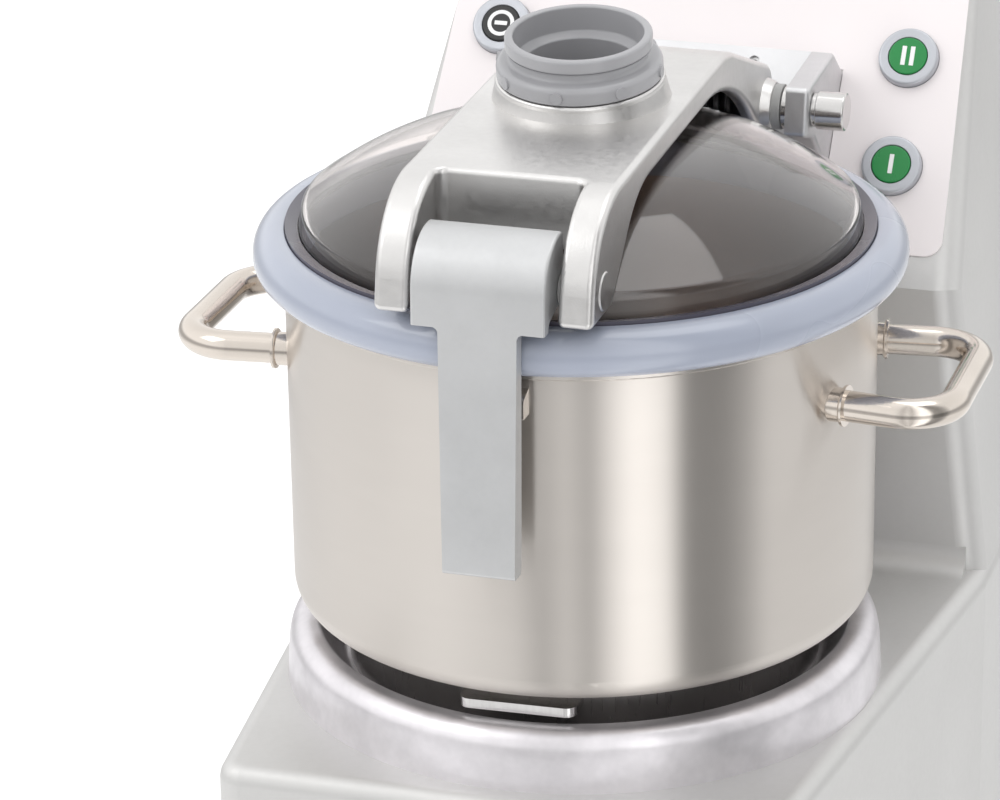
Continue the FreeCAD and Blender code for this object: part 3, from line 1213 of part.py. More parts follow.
def make_hinge():
    """Two-eared bracket on the panel, its pin, knob, bushes, washers and spring."""
    bracket = body("hinge_bracket_casting")
    low = up_panel("bracket_low")
    high = up_panel("bracket_high")
    crest = up_panel("bracket_high", "bracket_plate + 1")
    side = [
        ("hinge_y - 11.9", "ear_top", "3"),
        crest + ("8",),
        high,
        low,
        ("hinge_y + 4", "hinge_z - hub_round - 2", "8"),
        ("ear_front", "hinge_z - 11", "3"),
    ]
    pad(bracket, "hinge_bracket_pad", sketch(bracket, "hinge_bracket_side", "YZ", [side]), "2 * ear_outer",
        both=True)
    outer = value("ear_outer")
    panel_line = value(low[0]) - value(low[1]) * math.tan(math.radians(value("panel_tilt")))

    def free_edge(edge):
        """Outline edges of an ear, away from the panel."""
        on_side = all(abs(abs(point.X) - outer) < 0.01 for point in edge.Vertexes)
        tilt = math.tan(math.radians(value("panel_tilt")))
        off_panel = any(point.Y - point.Z * tilt < panel_line - 1 for point in edge.Vertexes)
        return on_side and off_panel and edge.BoundBox.XMax - edge.BoundBox.XMin < 0.01

    fillet(bracket, "hinge_bracket_edges", "2.5", free_edge)
    near = up_panel("bracket_low - 30", "bracket_plate")
    far = up_panel("bracket_high + 30", "bracket_plate")
    between = [near, far, ("ear_front - 20", far[1]), ("ear_front - 20", near[1])]
    pocket_middle(bracket, "hinge_bracket_gap", sketch(bracket, "hinge_bracket_gap_side", "YZ", [between]),
                  "2 * ear_inner")
    pocket(bracket, "hinge_bracket_bore",
           sketch(bracket, "hinge_bracket_circle", "YZ", circles=[("hinge_y", "hinge_z", "hinge_pin_radius")]))
    holes = doc.addObject("Part::Compound", "hinge_bracket_holes")
    holes.Links = [rod("hinge_bracket_hole", "bracket_screw_radius + 0.1", "bracket_plate + 2",
                       on_panel(x, slope, "-1")) for x, slope in BRACKET_SCREWS]
    keep(cut("hinge_bracket", bracket, holes), "hinge_bracket")
    screws = []
    for i, (x, slope) in enumerate(BRACKET_SCREWS):
        loop = [
            ("0", "-housing_wall"),
            ("bracket_screw_radius", "-housing_wall"),
            ("bracket_screw_radius", "bracket_plate - bracket_screw_sunk"),
            ("bracket_screw_radius / 2", "bracket_plate - bracket_screw_sunk"),
            ("bracket_screw_radius / 2", "bracket_plate - bracket_screw_sunk - 3"),
            ("0", "bracket_plate - bracket_screw_sunk - 3"),
        ]
        screws.append(turned("bracket_screw_%d" % i, loop, on_panel(x, slope)))
    together("bracket_screws", screws)

    pin_end = "(ear_outer + 0.5)"
    left_end = "-(ear_outer + 5)"
    loop = [
        (left_end, "0"),
        (left_end, "hinge_pin_radius + 3", "1.5"),
        ("-ear_outer", "hinge_pin_radius + 3"),
        ("-ear_outer", "hinge_pin_radius"),
        (pin_end, "hinge_pin_radius"),
        (pin_end, "0"),
    ]
    keep(turned("hinge_pin", loop, HINGE, axis="H_Axis"))
    loop = [
        (pin_end, "0"),
        (pin_end, "knob_neck"),
        (pin_end + " + 2.1", "knob_neck"),
        (pin_end + " + 2.1", "knob_radius", "0.8"),
        (pin_end + " + knob_length", "knob_radius", "1.2"),
        (pin_end + " + knob_length", "0"),
    ]
    keep(turned("hinge_knob", loop, HINGE, axis="H_Axis"))
    bushes = []
    washers = []
    flange_end = "(hub_reach + bush_lip)"
    for name, side in (("right", ""), ("left", "-")):
        loop = [
            (side + "cheek_inner", "hinge_pin_radius + running_fit"),
            (side + "cheek_inner", "hinge_pin_radius + bush_wall"),
            (side + "hub_reach", "hinge_pin_radius + bush_wall"),
            (side + "hub_reach", "bush_flange"),
            (side + flange_end, "bush_flange", "0.6"),
            (side + flange_end, "hinge_pin_radius + running_fit"),
        ]
        bushes.append(turned("hinge_bush_%s" % name, loop, HINGE, axis="H_Axis"))
        loop = [
            (side + "(%s + washer_gap)" % flange_end, "hinge_pin_radius + running_fit"),
            (side + "(%s + washer_gap)" % flange_end, "bush_flange - 0.8", "0.5"),
            (side + "ear_inner", "bush_flange - 0.8"),
            (side + "ear_inner", "hinge_pin_radius + running_fit"),
        ]
        washers.append(turned("hinge_washer_%s" % name, loop, HINGE, axis="H_Axis"))
    together("hinge_bushes", bushes)
    together("hinge_washers", washers)

    reach = "(spring_turns * spring_pitch / 2 + spring_wire)"
    loop = [
        ("-" + reach, "hinge_pin_radius + running_fit"),
        ("-" + reach, "spring_mean - spring_wire / 2 - 0.15"),
        (reach, "spring_mean - spring_wire / 2 - 0.15"),
        (reach, "hinge_pin_radius + running_fit"),
    ]
    keep(turned("spring_sleeve", loop, HINGE, axis="H_Axis"))
    spring = body("hinge_spring", HINGE)
    wire = sketch(spring, "hinge_spring_wire", "XZ",
                  circles=[("-spring_turns * spring_pitch / 2", "spring_mean", "spring_wire / 2")])
    coil = spring.newObject("PartDesign::AdditiveHelix", "hinge_spring_coil")
    coil.Profile = wire
    coil.ReferenceAxis = (wire, ["H_Axis"])
    coil.Mode = "pitch-turns-angle"
    coil.setExpression("Pitch", bound("spring_pitch"))
    coil.setExpression("Turns", bound("spring_turns"))
    keep(spring)


def make_buttons():
    """Four push-buttons: bezel on the panel, cap with stem, switch block behind."""
    bezels = []
    blocks = []
    for label, (x, slope) in BUTTONS.items():
        loop = [
            ("cap_radius + cap_gap", "0"),
            ("bezel_radius", "0"),
            ("bezel_radius", "bezel_height", "1.6"),
            ("cap_radius + cap_gap", "bezel_height", "0.6"),
        ]
        bezels.append(turned(label + "_bezel", loop, on_panel(x, slope)))
        low = "(bezel_height - cap_height + 0.4)"
        loop = [
            ("0", low + " - stem_length"),
            ("stem_radius", low + " - stem_length"),
            ("stem_radius", low),
            ("cap_radius", low),
            ("cap_radius", "bezel_height + 0.4", "0.8"),
            ("0", "bezel_height + 0.4"),
        ]
        keep(turned(label, loop, on_panel(x, slope)))
        switch = body(label + "_switch", on_panel(x, slope))
        square = [
            ("-switch_half", "-switch_half", "2"),
            ("switch_half", "-switch_half", "2"),
            ("switch_half", "switch_half", "2"),
            ("-switch_half", "switch_half", "2"),
        ]
        drawing = sketch(switch, label + "_switch_outline", "XY", [square],
                         offset="-housing_wall - switch_depth")
        pad(switch, label + "_switch_pad", drawing, "switch_depth")
        drawing = sketch(switch, label + "_switch_circle", "XY",
                         circles=[("0", "0", "stem_radius + cap_gap")], offset="-housing_wall + 1")
        pocket(switch, label + "_switch_bore", drawing, "stem_length + 1")
        blocks.append(switch)
    together("button_bezels", bezels)
    together("switch_blocks", blocks)


def make_motor():
    """Flange motor that hangs under the base's top, its shaft rising through the bowl."""
    under = "-housing_wall"
    flange_low = "-(housing_wall + flange_wall)"
    bore = "(shaft_radius + 3)"
    loop = [
        ("upper_bearing_radius", flange_low),
        ("flange_radius", flange_low, "2"),
        ("flange_radius", under),
        ("nose_radius", under),
        ("nose_radius", "ring_floor", "2"),
        ("nose_tip", "ring_floor + 4", "4"),
        ("nose_tip", "nose_top", "2"),
        ("seal_ring_radius", "nose_top"),
        ("seal_ring_radius", "nose_top - seal_ring_height"),
        (bore, "nose_top - seal_ring_height"),
        (bore, flange_low + " + upper_bearing_height"),
        ("upper_bearing_radius", flange_low + " + upper_bearing_height"),
    ]
    casting = turned("motor_flange_casting", loop)
    holes = doc.addObject("Part::Compound", "motor_flange_holes")
    holes.Links = [rod("motor_flange_hole", "motor_bolt_radius + 0.1", "flange_wall + 2", place)
                   for place in motor_bolt_places(flange_low + " - 1")]
    keep(cut("motor_flange", casting, holes), "motor_flange")
    bolts = []
    for i, place in enumerate(motor_bolt_places(flange_low)):
        loop = [
            ("0", "-5"),
            ("motor_bolt_radius * 1.6", "-5", "0.8"),
            ("motor_bolt_radius * 1.6", "0"),
            ("motor_bolt_radius", "0"),
            ("motor_bolt_radius", "flange_wall + housing_wall + ring_floor - 3"),
            ("0", "flange_wall + housing_wall + ring_floor - 3"),
        ]
        bolts.append(turned("motor_bolt_%d" % i, loop, place))
    together("motor_bolts", bolts)
    loop = ring_loop("shaft_radius + running_fit", "upper_bearing_radius", flange_low,
                     flange_low + " + upper_bearing_height")
    keep(turned("upper_bearing", loop))
    loop = ring_loop("shaft_radius + running_fit", "seal_ring_radius", "nose_top - seal_ring_height", "nose_top")
    keep(turned("shaft_seal", loop))
    frame_inner = "frame_radius - frame_wall"
    keep(turned("motor_frame", ring_loop(frame_inner, "frame_radius", MOTOR_LOW, flange_low)))
    core_low = "-(core_high + core_length)"
    keep(turned("stator_core", ring_loop("stator_bore", frame_inner, core_low, "-core_high")))
    windings = [
        turned("winding_upper", ring_loop("winding_inner", "winding_outer", "-core_high",
                                          "-core_high + winding_height")),
        turned("winding_lower", ring_loop("winding_inner", "winding_outer", core_low + " - winding_height",
                                          core_low)),
    ]
    together("stator_windings", windings)
    shield_low = MOTOR_LOW + " - shield_wall"
    loop = [
        (bore, shield_low),
        ("frame_radius", shield_low, "2"),
        ("frame_radius", MOTOR_LOW),
        ("lower_bearing_radius + 6", MOTOR_LOW),
        ("lower_bearing_radius + 6", MOTOR_LOW + " + 8"),
        ("lower_bearing_radius", MOTOR_LOW + " + 8"),
        ("lower_bearing_radius", MOTOR_LOW + " + 8 - lower_bearing_height"),
        (bore, MOTOR_LOW + " + 8 - lower_bearing_height"),
    ]
    keep(turned("lower_end_shield", loop))
    loop = ring_loop("shaft_radius + running_fit", "lower_bearing_radius",
                     MOTOR_LOW + " + 8 - lower_bearing_height", MOTOR_LOW + " + 8")
    keep(turned("lower_bearing", loop))
    fan_high = "(%s - 4)" % shield_low
    fan_low = "(%s - fan_height)" % fan_high
    keep(turned("motor_shaft", [
        ("0", fan_low + " - 4"),
        ("shaft_radius", fan_low + " - 4", "1.5"),
        ("shaft_radius", "shaft_top - 14"),
        ("shaft_radius - 3", "shaft_top - 14"),
        ("shaft_radius - 3", "shaft_top", "1.5"),
        ("0", "shaft_top"),
    ]))
    keep(turned("rotor_core", ring_loop("shaft_radius", "rotor_radius", core_low, "-core_high")))
    fan = turned("cooling_fan", [
        ("shaft_radius", fan_low),
        ("shaft_radius + 9", fan_low),
        ("shaft_radius + 9", fan_high + " - 3"),
        ("fan_radius", fan_high + " - 3"),
        ("fan_radius", fan_high),
        ("shaft_radius", fan_high),
    ])
    vane = [
        ("shaft_radius + 6", "-1.2"),
        ("fan_radius - 2", "-1.2"),
        ("fan_radius - 2", "1.2"),
        ("shaft_radius + 6", "1.2"),
    ]
    drawing = sketch(fan, "cooling_fan_vane", "XY", [vane], offset=fan_low)
    blade = pad(fan, "cooling_fan_vane_pad", drawing, "fan_height - 3")
    pattern(fan, "cooling_fan_vanes", blade, "fan_blades")
    keep(fan)


def make_blades():
    """Hub over the chimney, two pairs of sickle blades and the cap nut."""
    inner = "(chimney_radius + hub_gap)"
    outer = "(chimney_radius + hub_gap + hub_wall)"
    shelf = "(shaft_top - 14)"
    keep(turned("blade_hub", [
        (inner, "hub_low"),
        (outer, "hub_low"),
        (outer, "%s - 4" % shelf, "3"),
        ("nut_radius + 4", "%s + hub_cap - 4" % shelf, "2"),
        ("shaft_radius - 3", "%s + hub_cap - 4" % shelf),
        ("shaft_radius - 3", shelf),
        (inner, shelf),
    ]))
    for label, level, start in (("lower_blades", "lower_blade_z", "0"), ("upper_blades", "upper_blade_z", "90")):
        item = body(label, spin=start) if start != "0" else body(label)
        drawing = sketch(item, label + "_collar", "XY", offset=level,
                         circles=[("0", "0", outer), ("0", "0", outer + " + blade_collar")])
        pad(item, label + "_collar_pad", drawing, "blade_wall")
        sickle = [
            (outer + " + 2", "14"),
            ("blade_reach * 0.66", "24", "110"),
            ("blade_reach", "-20", "1"),
            ("blade_reach - 6", "-30", "1"),
            ("blade_reach * 0.62", "-3", "80"),
            (outer + " + 2", "-16"),
        ]
        drawing = sketch(item, label + "_sickle", "XY", [sickle], offset=level)
        arm = pad(item, label + "_sickle_pad", drawing, "blade_wall")
        pattern(item, label + "_pair", arm, "2")
        keep(item)
    top = "(%s + hub_cap - 4)" % shelf
    keep(turned("blade_cap_nut", [
        ("shaft_radius - 3", top),
        ("nut_radius", top),
        ("nut_radius", "%s + nut_height * 0.5" % top, "4"),
        ("nut_radius * 0.55", "%s + nut_height * 0.62" % top, "6"),
        ("nut_radius * 0.5", "%s + nut_height" % top, "5"),
        ("0", "%s + nut_height" % top),
        ("0", "shaft_top"),
        ("shaft_radius - 3", "shaft_top"),
    ]))


def make_electrics():
    """What the column holds: a plate with contactors and terminals, and the lid's reed switch."""
    floor = "%s + bottom_wall" % BOTTOM
    rack = body("electrics_plate")
    outline = [
        ("-rack_half", floor),
        ("rack_half", floor),
        ("rack_half", "rack_high", "6"),
        ("-rack_half", "rack_high", "6"),
    ]
    drawing = sketch(rack, "electrics_plate_outline", "XZ", [outline], offset="-rack_y - rack_wall")
    pad(rack, "electrics_plate_pad", drawing, "rack_wall")
    keep(rack)
    units = []
    for i in range(int(value("contactor_count"))):
        x = "(%d - (contactor_count - 1) / 2) * contactor_pitch - contactor_width / 2" % i
        units.append(block("contactor_%d" % i, "contactor_width", "contactor_depth", "contactor_height",
                           at_bowl(x, "rack_y - contactor_depth", "contactor_level")))
    together("contactors", units)
    keep(block("terminal_block", "terminal_width", "terminal_depth", "terminal_height",
               at_bowl("-terminal_width / 2", "rack_y - terminal_depth", "-terminal_level")), "terminal_block")
    place = on_panel("-reed_width / 2", "(bracket_low + bracket_high - reed_length) / 2",
                     "-housing_wall - reed_height")
    keep(block("reed_switch", "reed_width", "reed_length", "reed_height", place), "reed_switch")


def write_parts():
    """Refuse anything failed, then write one file a piece."""
    doc.recompute()
    for item in doc.Objects:
        if "Invalid" in item.State or "Error" in item.State:
            raise RuntimeError("%s failed: %s" % (item.Label, item.State))
    for item in kept:
        if item.Shape.isNull() or not item.Shape.isValid() or not item.Shape.Solids:
            raise RuntimeError("%s has no valid solid" % item.Label)
    os.makedirs("parts", exist_ok=True)
    for item in kept:
        item.Shape.exportStep("parts/%s.step" % item.Label)
        print("%-24s %d solid(s) %.0f mm3" % (item.Label, len(item.Shape.Solids), item.Shape.Volume))


make_housing()
make_plates()
make_base_ring()
make_bowl()
make_handles()
make_lid()
make_arm()
make_feed_tube()
make_latch()
make_hinge()
make_buttons()
make_motor()
make_blades()
make_electrics()
write_parts()
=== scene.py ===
import json
import math

import bmesh
import bpy
from mathutils import Matrix, Vector


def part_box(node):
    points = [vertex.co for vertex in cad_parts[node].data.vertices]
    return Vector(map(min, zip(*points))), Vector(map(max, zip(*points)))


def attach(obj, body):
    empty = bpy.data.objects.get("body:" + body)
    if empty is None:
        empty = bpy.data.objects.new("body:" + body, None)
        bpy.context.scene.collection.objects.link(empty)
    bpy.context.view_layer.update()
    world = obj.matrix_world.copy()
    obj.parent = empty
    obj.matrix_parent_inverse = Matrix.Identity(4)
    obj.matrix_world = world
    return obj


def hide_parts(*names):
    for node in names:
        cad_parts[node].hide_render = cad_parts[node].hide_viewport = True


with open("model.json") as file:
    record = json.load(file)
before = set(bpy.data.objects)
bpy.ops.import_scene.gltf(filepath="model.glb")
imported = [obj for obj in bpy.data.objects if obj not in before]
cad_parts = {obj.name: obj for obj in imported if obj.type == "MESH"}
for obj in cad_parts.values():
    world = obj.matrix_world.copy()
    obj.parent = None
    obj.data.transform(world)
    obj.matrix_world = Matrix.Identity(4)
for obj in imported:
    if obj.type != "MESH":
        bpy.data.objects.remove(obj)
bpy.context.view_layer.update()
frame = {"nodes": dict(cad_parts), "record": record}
NODES = frame["nodes"]

# Row frame, metres. The bowl's axis and the base's top give most places.
AXIS_Y = (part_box("bowl")[0].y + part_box("bowl")[1].y) / 2
BASE_TOP = 0.278
TILT = math.radians(38)
BOWL_RADIUS = 0.1529


def at(x, y, z):
    """A point given in millimetres from the bowl axis and the base top."""
    return Vector((x / 1000, AXIS_Y + y / 1000, BASE_TOP + z / 1000))


# ---------------------------------------------------------------- camera
AZIMUTH = math.radians(15.139)
ELEVATION = math.radians(22.060)
camera_data = bpy.data.cameras.new("photo_camera")
camera = bpy.data.objects.new("photo_camera", camera_data)
bpy.context.scene.collection.objects.link(camera)
bpy.context.scene.camera = camera
ahead = Vector((-math.sin(AZIMUTH) * math.cos(ELEVATION),
                math.cos(AZIMUTH) * math.cos(ELEVATION),
                -math.sin(ELEVATION)))
right = Vector((math.cos(AZIMUTH), math.sin(AZIMUTH), 0))
up = right.cross(ahead)
turn = Matrix((right, up, -ahead)).transposed().to_4x4()
camera.matrix_world = Matrix.Translation(at(596.7, -2019.4, 1003.1)) @ turn
camera_data.sensor_width = 36
camera_data.lens = 4354.148 / 1000 * 36
camera_data.shift_x = (500 - 676.108) / 1000
camera_data.shift_y = (398.796 - 400) / 1000
camera_data.clip_start = 0.05
camera_data.clip_end = 60


# ---------------------------------------------------------------- materials
class Paint:
    """One node-built material. Patterns run in the object's own metres."""

    def __init__(self, name, color, metallic=0.0, roughness=0.5, **sockets):
        self.material = bpy.data.materials.new(name)
        self.material.use_nodes = True
        self.tree = self.material.node_tree
        self.shader = self.tree.nodes["Principled BSDF"]
        self.shader.inputs["Base Color"].default_value = (*color, 1)
        self.shader.inputs["Metallic"].default_value = metallic
        self.shader.inputs["Roughness"].default_value = roughness
        for socket, number in sockets.items():
            self.shader.inputs[socket.replace("_", " ")].default_value = number
        self.place = self.node("ShaderNodeTexCoord").outputs["Object"]
        self.color = color
        self.roughness = roughness
        self.height = None

    def node(self, kind, **settings):
        made = self.tree.nodes.new(kind)
        for key, setting in settings.items():
            setattr(made, key, setting)
        return made

    def link(self, out, into):
        self.tree.links.new(out, into)

    def stretched(self, scale):
        """Coordinates scaled by axis, for grain that runs one way."""
        mapping = self.node("ShaderNodeMapping")
        mapping.inputs["Scale"].default_value = scale
        self.link(self.place, mapping.inputs["Vector"])
        return mapping.outputs["Vector"]

    def round_the_bowl(self, around, along, across):
        """Coordinates that run round the bowl's axis: angle, height and radius."""
        shift = self.node("ShaderNodeVectorMath", operation="SUBTRACT")
        shift.inputs[1].default_value = (0, AXIS_Y, 0)
        self.link(self.place, shift.inputs[0])
        split = self.node("ShaderNodeSeparateXYZ")
        self.link(shift.outputs["Vector"], split.inputs["Vector"])
        angle = self.node("ShaderNodeMath", operation="ARCTAN2")
        self.link(split.outputs["Y"], angle.inputs[0])
        self.link(split.outputs["X"], angle.inputs[1])
        flat = self.node("ShaderNodeCombineXYZ")
        self.link(split.outputs["X"], flat.inputs["X"])
        self.link(split.outputs["Y"], flat.inputs["Y"])
        length = self.node("ShaderNodeVectorMath", operation="LENGTH")
        self.link(flat.outputs["Vector"], length.inputs[0])
        joined = self.node("ShaderNodeCombineXYZ")
        self.link(self.scaled(angle.outputs["Value"], around), joined.inputs["X"])
        self.link(self.scaled(split.outputs["Z"], along), joined.inputs["Y"])
        self.link(self.scaled(length.outputs["Value"], across), joined.inputs["Z"])
        return joined.outputs["Vector"]

    def scaled(self, out, factor):
        times = self.node("ShaderNodeMath", operation="MULTIPLY")
        times.inputs[1].default_value = factor
        self.link(out, times.inputs[0])
        return times.outputs["Value"]

    def noise(self, scale, detail=3.0, vector=None, roughness=0.55):
        made = self.node("ShaderNodeTexNoise")
        made.inputs["Scale"].default_value = scale
        made.inputs["Detail"].default_value = detail
        made.inputs["Roughness"].default_value = roughness
        self.link(vector or self.place, made.inputs["Vector"])
        return made.outputs["Fac"]

    def spots(self, scale):
        made = self.node("ShaderNodeTexVoronoi")
        made.inputs["Scale"].default_value = scale
        self.link(self.place, made.inputs["Vector"])
        return made

    def spread(self, out, low, high, start=0.3, end=0.7):
        """A pattern mapped to a range."""
        made = self.node("ShaderNodeMapRange")
        made.inputs["From Min"].default_value = start
        made.inputs["From Max"].default_value = end
        made.inputs["To Min"].default_value = low
        made.inputs["To Max"].default_value = high
        self.link(out, made.inputs["Value"])
        return made.outputs["Result"]

    def shade(self, out, darker, lighter, start=0.3, end=0.7):
        """Colour that wanders between two tints of the paint's own colour."""
        factor = self.spread(out, 0, 1, start, end)
        mix = self.node("ShaderNodeMix", data_type="RGBA")
        mix.inputs["A"].default_value = (*[c * darker for c in self.color], 1)
        mix.inputs["B"].default_value = (*[min(1, c * lighter) for c in self.color], 1)
        self.link(factor, mix.inputs["Factor"])
        self.link(mix.outputs["Result"], self.shader.inputs["Base Color"])
        return self

    def inside(self, color):
        """Painted shade: a darker colour on the bowl's inner wall, standing in for the shade that falls inside
        the bowl.
        """
        place = self.node("ShaderNodeSeparateXYZ")
        self.link(self.round_the_bowl(1, 1, 1), place.inputs["Vector"])
        low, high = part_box("bowl")
        wall = self.node("ShaderNodeMath", operation="LESS_THAN")
        wall.inputs[1].default_value = BOWL_RADIUS - 0.0007
        self.link(place.outputs["Z"], wall.inputs[0])
        above = self.spread(place.outputs["Y"], 0, 1, low.z + 0.03, high.z - 0.04)
        both = self.node("ShaderNodeMath", operation="MULTIPLY")
        self.link(wall.outputs["Value"], both.inputs[0])
        self.link(above, both.inputs[1])
        mix = self.node("ShaderNodeMix", data_type="RGBA")
        self.link(self.shader.inputs["Base Color"].links[0].from_socket, mix.inputs["A"])
        mix.inputs["B"].default_value = (*color, 1)
        self.link(both.outputs["Value"], mix.inputs["Factor"])
        self.link(mix.outputs["Result"], self.shader.inputs["Base Color"])

    def gloss(self, out, low, high, start=0.3, end=0.7):
        self.link(self.spread(out, low, high, start, end), self.shader.inputs["Roughness"])
        return self

    def bump(self, out, strength, distance):
        made = self.node("ShaderNodeBump")
        made.inputs["Strength"].default_value = strength
        made.inputs["Distance"].default_value = distance
        self.link(out, made.inputs["Height"])
        if self.height:
            self.link(self.height, made.inputs["Normal"])
        self.height = made.outputs["Normal"]
        self.link(self.height, self.shader.inputs["Normal"])
        return self


def cast(name, color, grain=1500.0, strength=0.25, roughness=0.4, metallic=1.0):
    """Blasted cast metal: fine pits, slow cloudiness."""
    paint = Paint(name, color, metallic, roughness)
    cloud = paint.noise(18, 4)
    paint.shade(cloud, 0.93, 1.05)
    paint.gloss(paint.noise(260, 3), roughness - 0.05, roughness + 0.07)
    paint.bump(paint.noise(grain, 2), strength, 0.0003)
    return paint


def polished(name, color, roughness=0.16, grain=(900, 900, 40)):
    """Ground or polished steel with faint scratches."""
    paint = Paint(name, color, 1.0, roughness)
    scratch = paint.noise(1, 3, paint.stretched(grain))
    paint.gloss(scratch, roughness - 0.04, roughness + 0.08)
    paint.shade(paint.noise(30, 2), 0.96, 1.03)
    paint.bump(scratch, 0.05, 0.0001)
    return paint


def plastic(name, color, roughness=0.35, grain=700.0, strength=0.06, **sockets):
    paint = Paint(name, color, 0.0, roughness, **sockets)
    paint.shade(paint.noise(25, 3), 0.96, 1.04)
    paint.gloss(paint.noise(90, 3), roughness - 0.04, roughness + 0.06)
    paint.bump(paint.noise(grain, 2), strength, 0.0002)
    return paint


PAINTS = {}

steel = Paint("satin_sheet", (0.65, 0.645, 0.635), 0.65, 0.48)
steel.shade(steel.noise(7, 4), 0.96, 1.03)
steel.gloss(steel.noise(1, 4, steel.stretched((300, 300, 300))), 0.45, 0.54)
steel.bump(steel.noise(1100, 2), 0.05, 0.0002)
PAINTS["sheet_steel"] = steel

PAINTS["zinc_plate"] = cast("zinc_coated", (0.45, 0.46, 0.48), 400, 0.05, 0.38)
PAINTS["foot_rubber"] = plastic("foot_rubber", (0.025, 0.025, 0.026), 0.75, 900, 0.2)
PAINTS["screw_steel"] = polished("screw_steel", (0.62, 0.62, 0.62), 0.25)
PAINTS["black_plastic"] = plastic("black_moulding", (0.03, 0.03, 0.033), 0.5, 800, 0.15)

film = Paint("panel_film", (0.85, 0.80, 0.805), 0.0, 0.3)
film.shade(film.noise(12, 2), 0.985, 1.01)
film.bump(film.noise(1800, 2), 0.03, 0.0001)
PAINTS["label_film"] = film

rough = Paint("rough_cast", (0.79, 0.765, 0.79), 0.8, 0.34)
rough.shade(rough.noise(22, 4, roughness=0.7), 0.84, 1.08)
rough.gloss(rough.noise(60, 3), 0.3, 0.42)
rough.bump(rough.noise(850, 3, roughness=0.7), 0.12, 0.0004)
rough.bump(rough.noise(28, 2), 0.4, 0.003)
PAINTS["rough_cast"] = rough

PAINTS["plain_cast"] = cast("plain_cast", (0.5, 0.5, 0.51), 500, 0.4, 0.5)
PAINTS["core_steel"] = cast("lamination_stack", (0.12, 0.12, 0.13), 900, 0.3, 0.5)
PAINTS["copper_wire"] = cast("varnished_wire", (0.55, 0.22, 0.09), 600, 0.6, 0.3)
PAINTS["bearing_steel"] = polished("bearing_steel", (0.6, 0.6, 0.6), 0.18)
PAINTS["seal_rubber"] = plastic("seal_rubber", (0.03, 0.03, 0.03), 0.7)

bowl = Paint("bowl_steel", (0.67, 0.63, 0.59), 1.0, 0.3, Anisotropic=1.0, Anisotropic_Rotation=0.25)
grain = bowl.noise(1, 2, bowl.round_the_bowl(6.0, 3500, 3500))
bowl.gloss(grain, 0.28, 0.33)
bowl.shade(bowl.noise(1, 2, bowl.round_the_bowl(1.2, 40, 40)), 0.985, 1.01)
# painted shade: the bowl's inner wall is coloured dark brown for the shade inside the bowl
bowl.inside((0.30, 0.24, 0.21))
bowl.bump(grain, 0.012, 0.0001)
tangent = bowl.node("ShaderNodeTangent", direction_type="RADIAL", axis="Z")
bowl.link(tangent.outputs["Tangent"], bowl.shader.inputs["Tangent"])
PAINTS["stainless"] = bowl

PAINTS["handle_steel"] = polished("handle_steel", (0.68, 0.62, 0.56), 0.13, (700, 700, 700))

ring = Paint("ring_silicone", (0.34, 0.37, 0.45), 0.0, 0.26, Coat_Weight=0.7, Coat_Roughness=0.1)
ring.shade(ring.noise(10, 3), 0.95, 1.05)
ring.gloss(ring.noise(6, 2), 0.23, 0.3)
PAINTS["ring_plastic"] = ring
# painted shade: the seal ring's inner lip is a dark violet copy of the ring's own colour, for the shade on its
# inner slope
PAINTS["lip_painted_shade"] = plastic("ring_lip_painted_shade", (0.085, 0.08, 0.105), 0.14, 300, 0.0)

clear = Paint("clear_moulding", (0.87, 0.825, 0.81), 0.0, 0.03, IOR=1.55)
clear.shader.inputs["Transmission Weight"].default_value = 1.0
clear.gloss(clear.noise(5, 2), 0.005, 0.02)
PAINTS["clear_plastic"] = clear

PAINTS["gasket_rubber"] = plastic("gasket_rubber", (0.25, 0.25, 0.27), 0.6)
PAINTS["arm_cast"] = cast("arm_cast", (0.72, 0.71, 0.70), 1300, 0.2, 0.33)
PAINTS["lever_cast"] = cast("lever_cast", (0.60, 0.605, 0.61), 1600, 0.12, 0.46, 0.8)
PAINTS["bracket_cast"] = cast("bracket_cast", (0.68, 0.68, 0.69), 1300, 0.22, 0.4)
tube = Paint("tube_plastic", (0.36, 0.36, 0.375), 0.0, 0.24)
tube.shade(tube.noise(8, 2), 0.97, 1.03)
PAINTS["tube_plastic"] = tube
PAINTS["pin_steel"] = polished("pin_steel", (0.66, 0.65, 0.64), 0.16)
PAINTS["bush_plastic"] = plastic("bush_plastic", (0.40, 0.40, 0.395), 0.4)
# painted shade: the foot ring under the bowl is made dark for the deep shade in the recess between bowl and
# base ring
PAINTS["foot_ring_painted_shade"] = polished("foot_ring_painted_shade", (0.3, 0.29, 0.285), 0.3)
PAINTS["spring_steel"] = polished("spring_steel", (0.09, 0.09, 0.095), 0.35)
PAINTS["magnet_steel"] = polished("magnet_nickel", (0.6, 0.58, 0.55), 0.2)
PAINTS["bezel_metal"] = cast("bezel_metal", (0.50, 0.515, 0.55), 1500, 0.06, 0.4, 0.6)
PAINTS["green_key"] = plastic("green_key", (0.012, 0.235, 0.055), 0.3)
PAINTS["black_key"] = plastic("black_key", (0.012, 0.012, 0.013), 0.3)
PAINTS["red_key"] = plastic("red_key", (0.45, 0.015, 0.015), 0.3)
PAINTS["blade_steel"] = polished("blade_steel", (0.66, 0.66, 0.66), 0.18)
PAINTS["hub_plastic"] = plastic("hub_plastic", (0.42, 0.42, 0.43), 0.4)
PAINTS["print_white"] = plastic("print_white", (0.85, 0.85, 0.85), 0.4)

OTHER_PAINT = {"handle_flanges": "handle_steel", "bowl_foot_ring": "foot_ring_painted_shade",
               "bowl_locating_lugs": "pin_steel", "latch_pin": "arm_cast"}
SLOT_OF = {part["node"]: part["material_slot"] for part in frame["record"]["subparts"]}
for node, item in NODES.items():
    material = PAINTS[OTHER_PAINT.get(node, SLOT_OF[node])].material
    item.data.materials.clear()
    item.data.materials.append(material)
    for face in item.data.polygons:
        face.use_smooth = True
    item.data.set_sharp_from_angle(angle=math.radians(32))


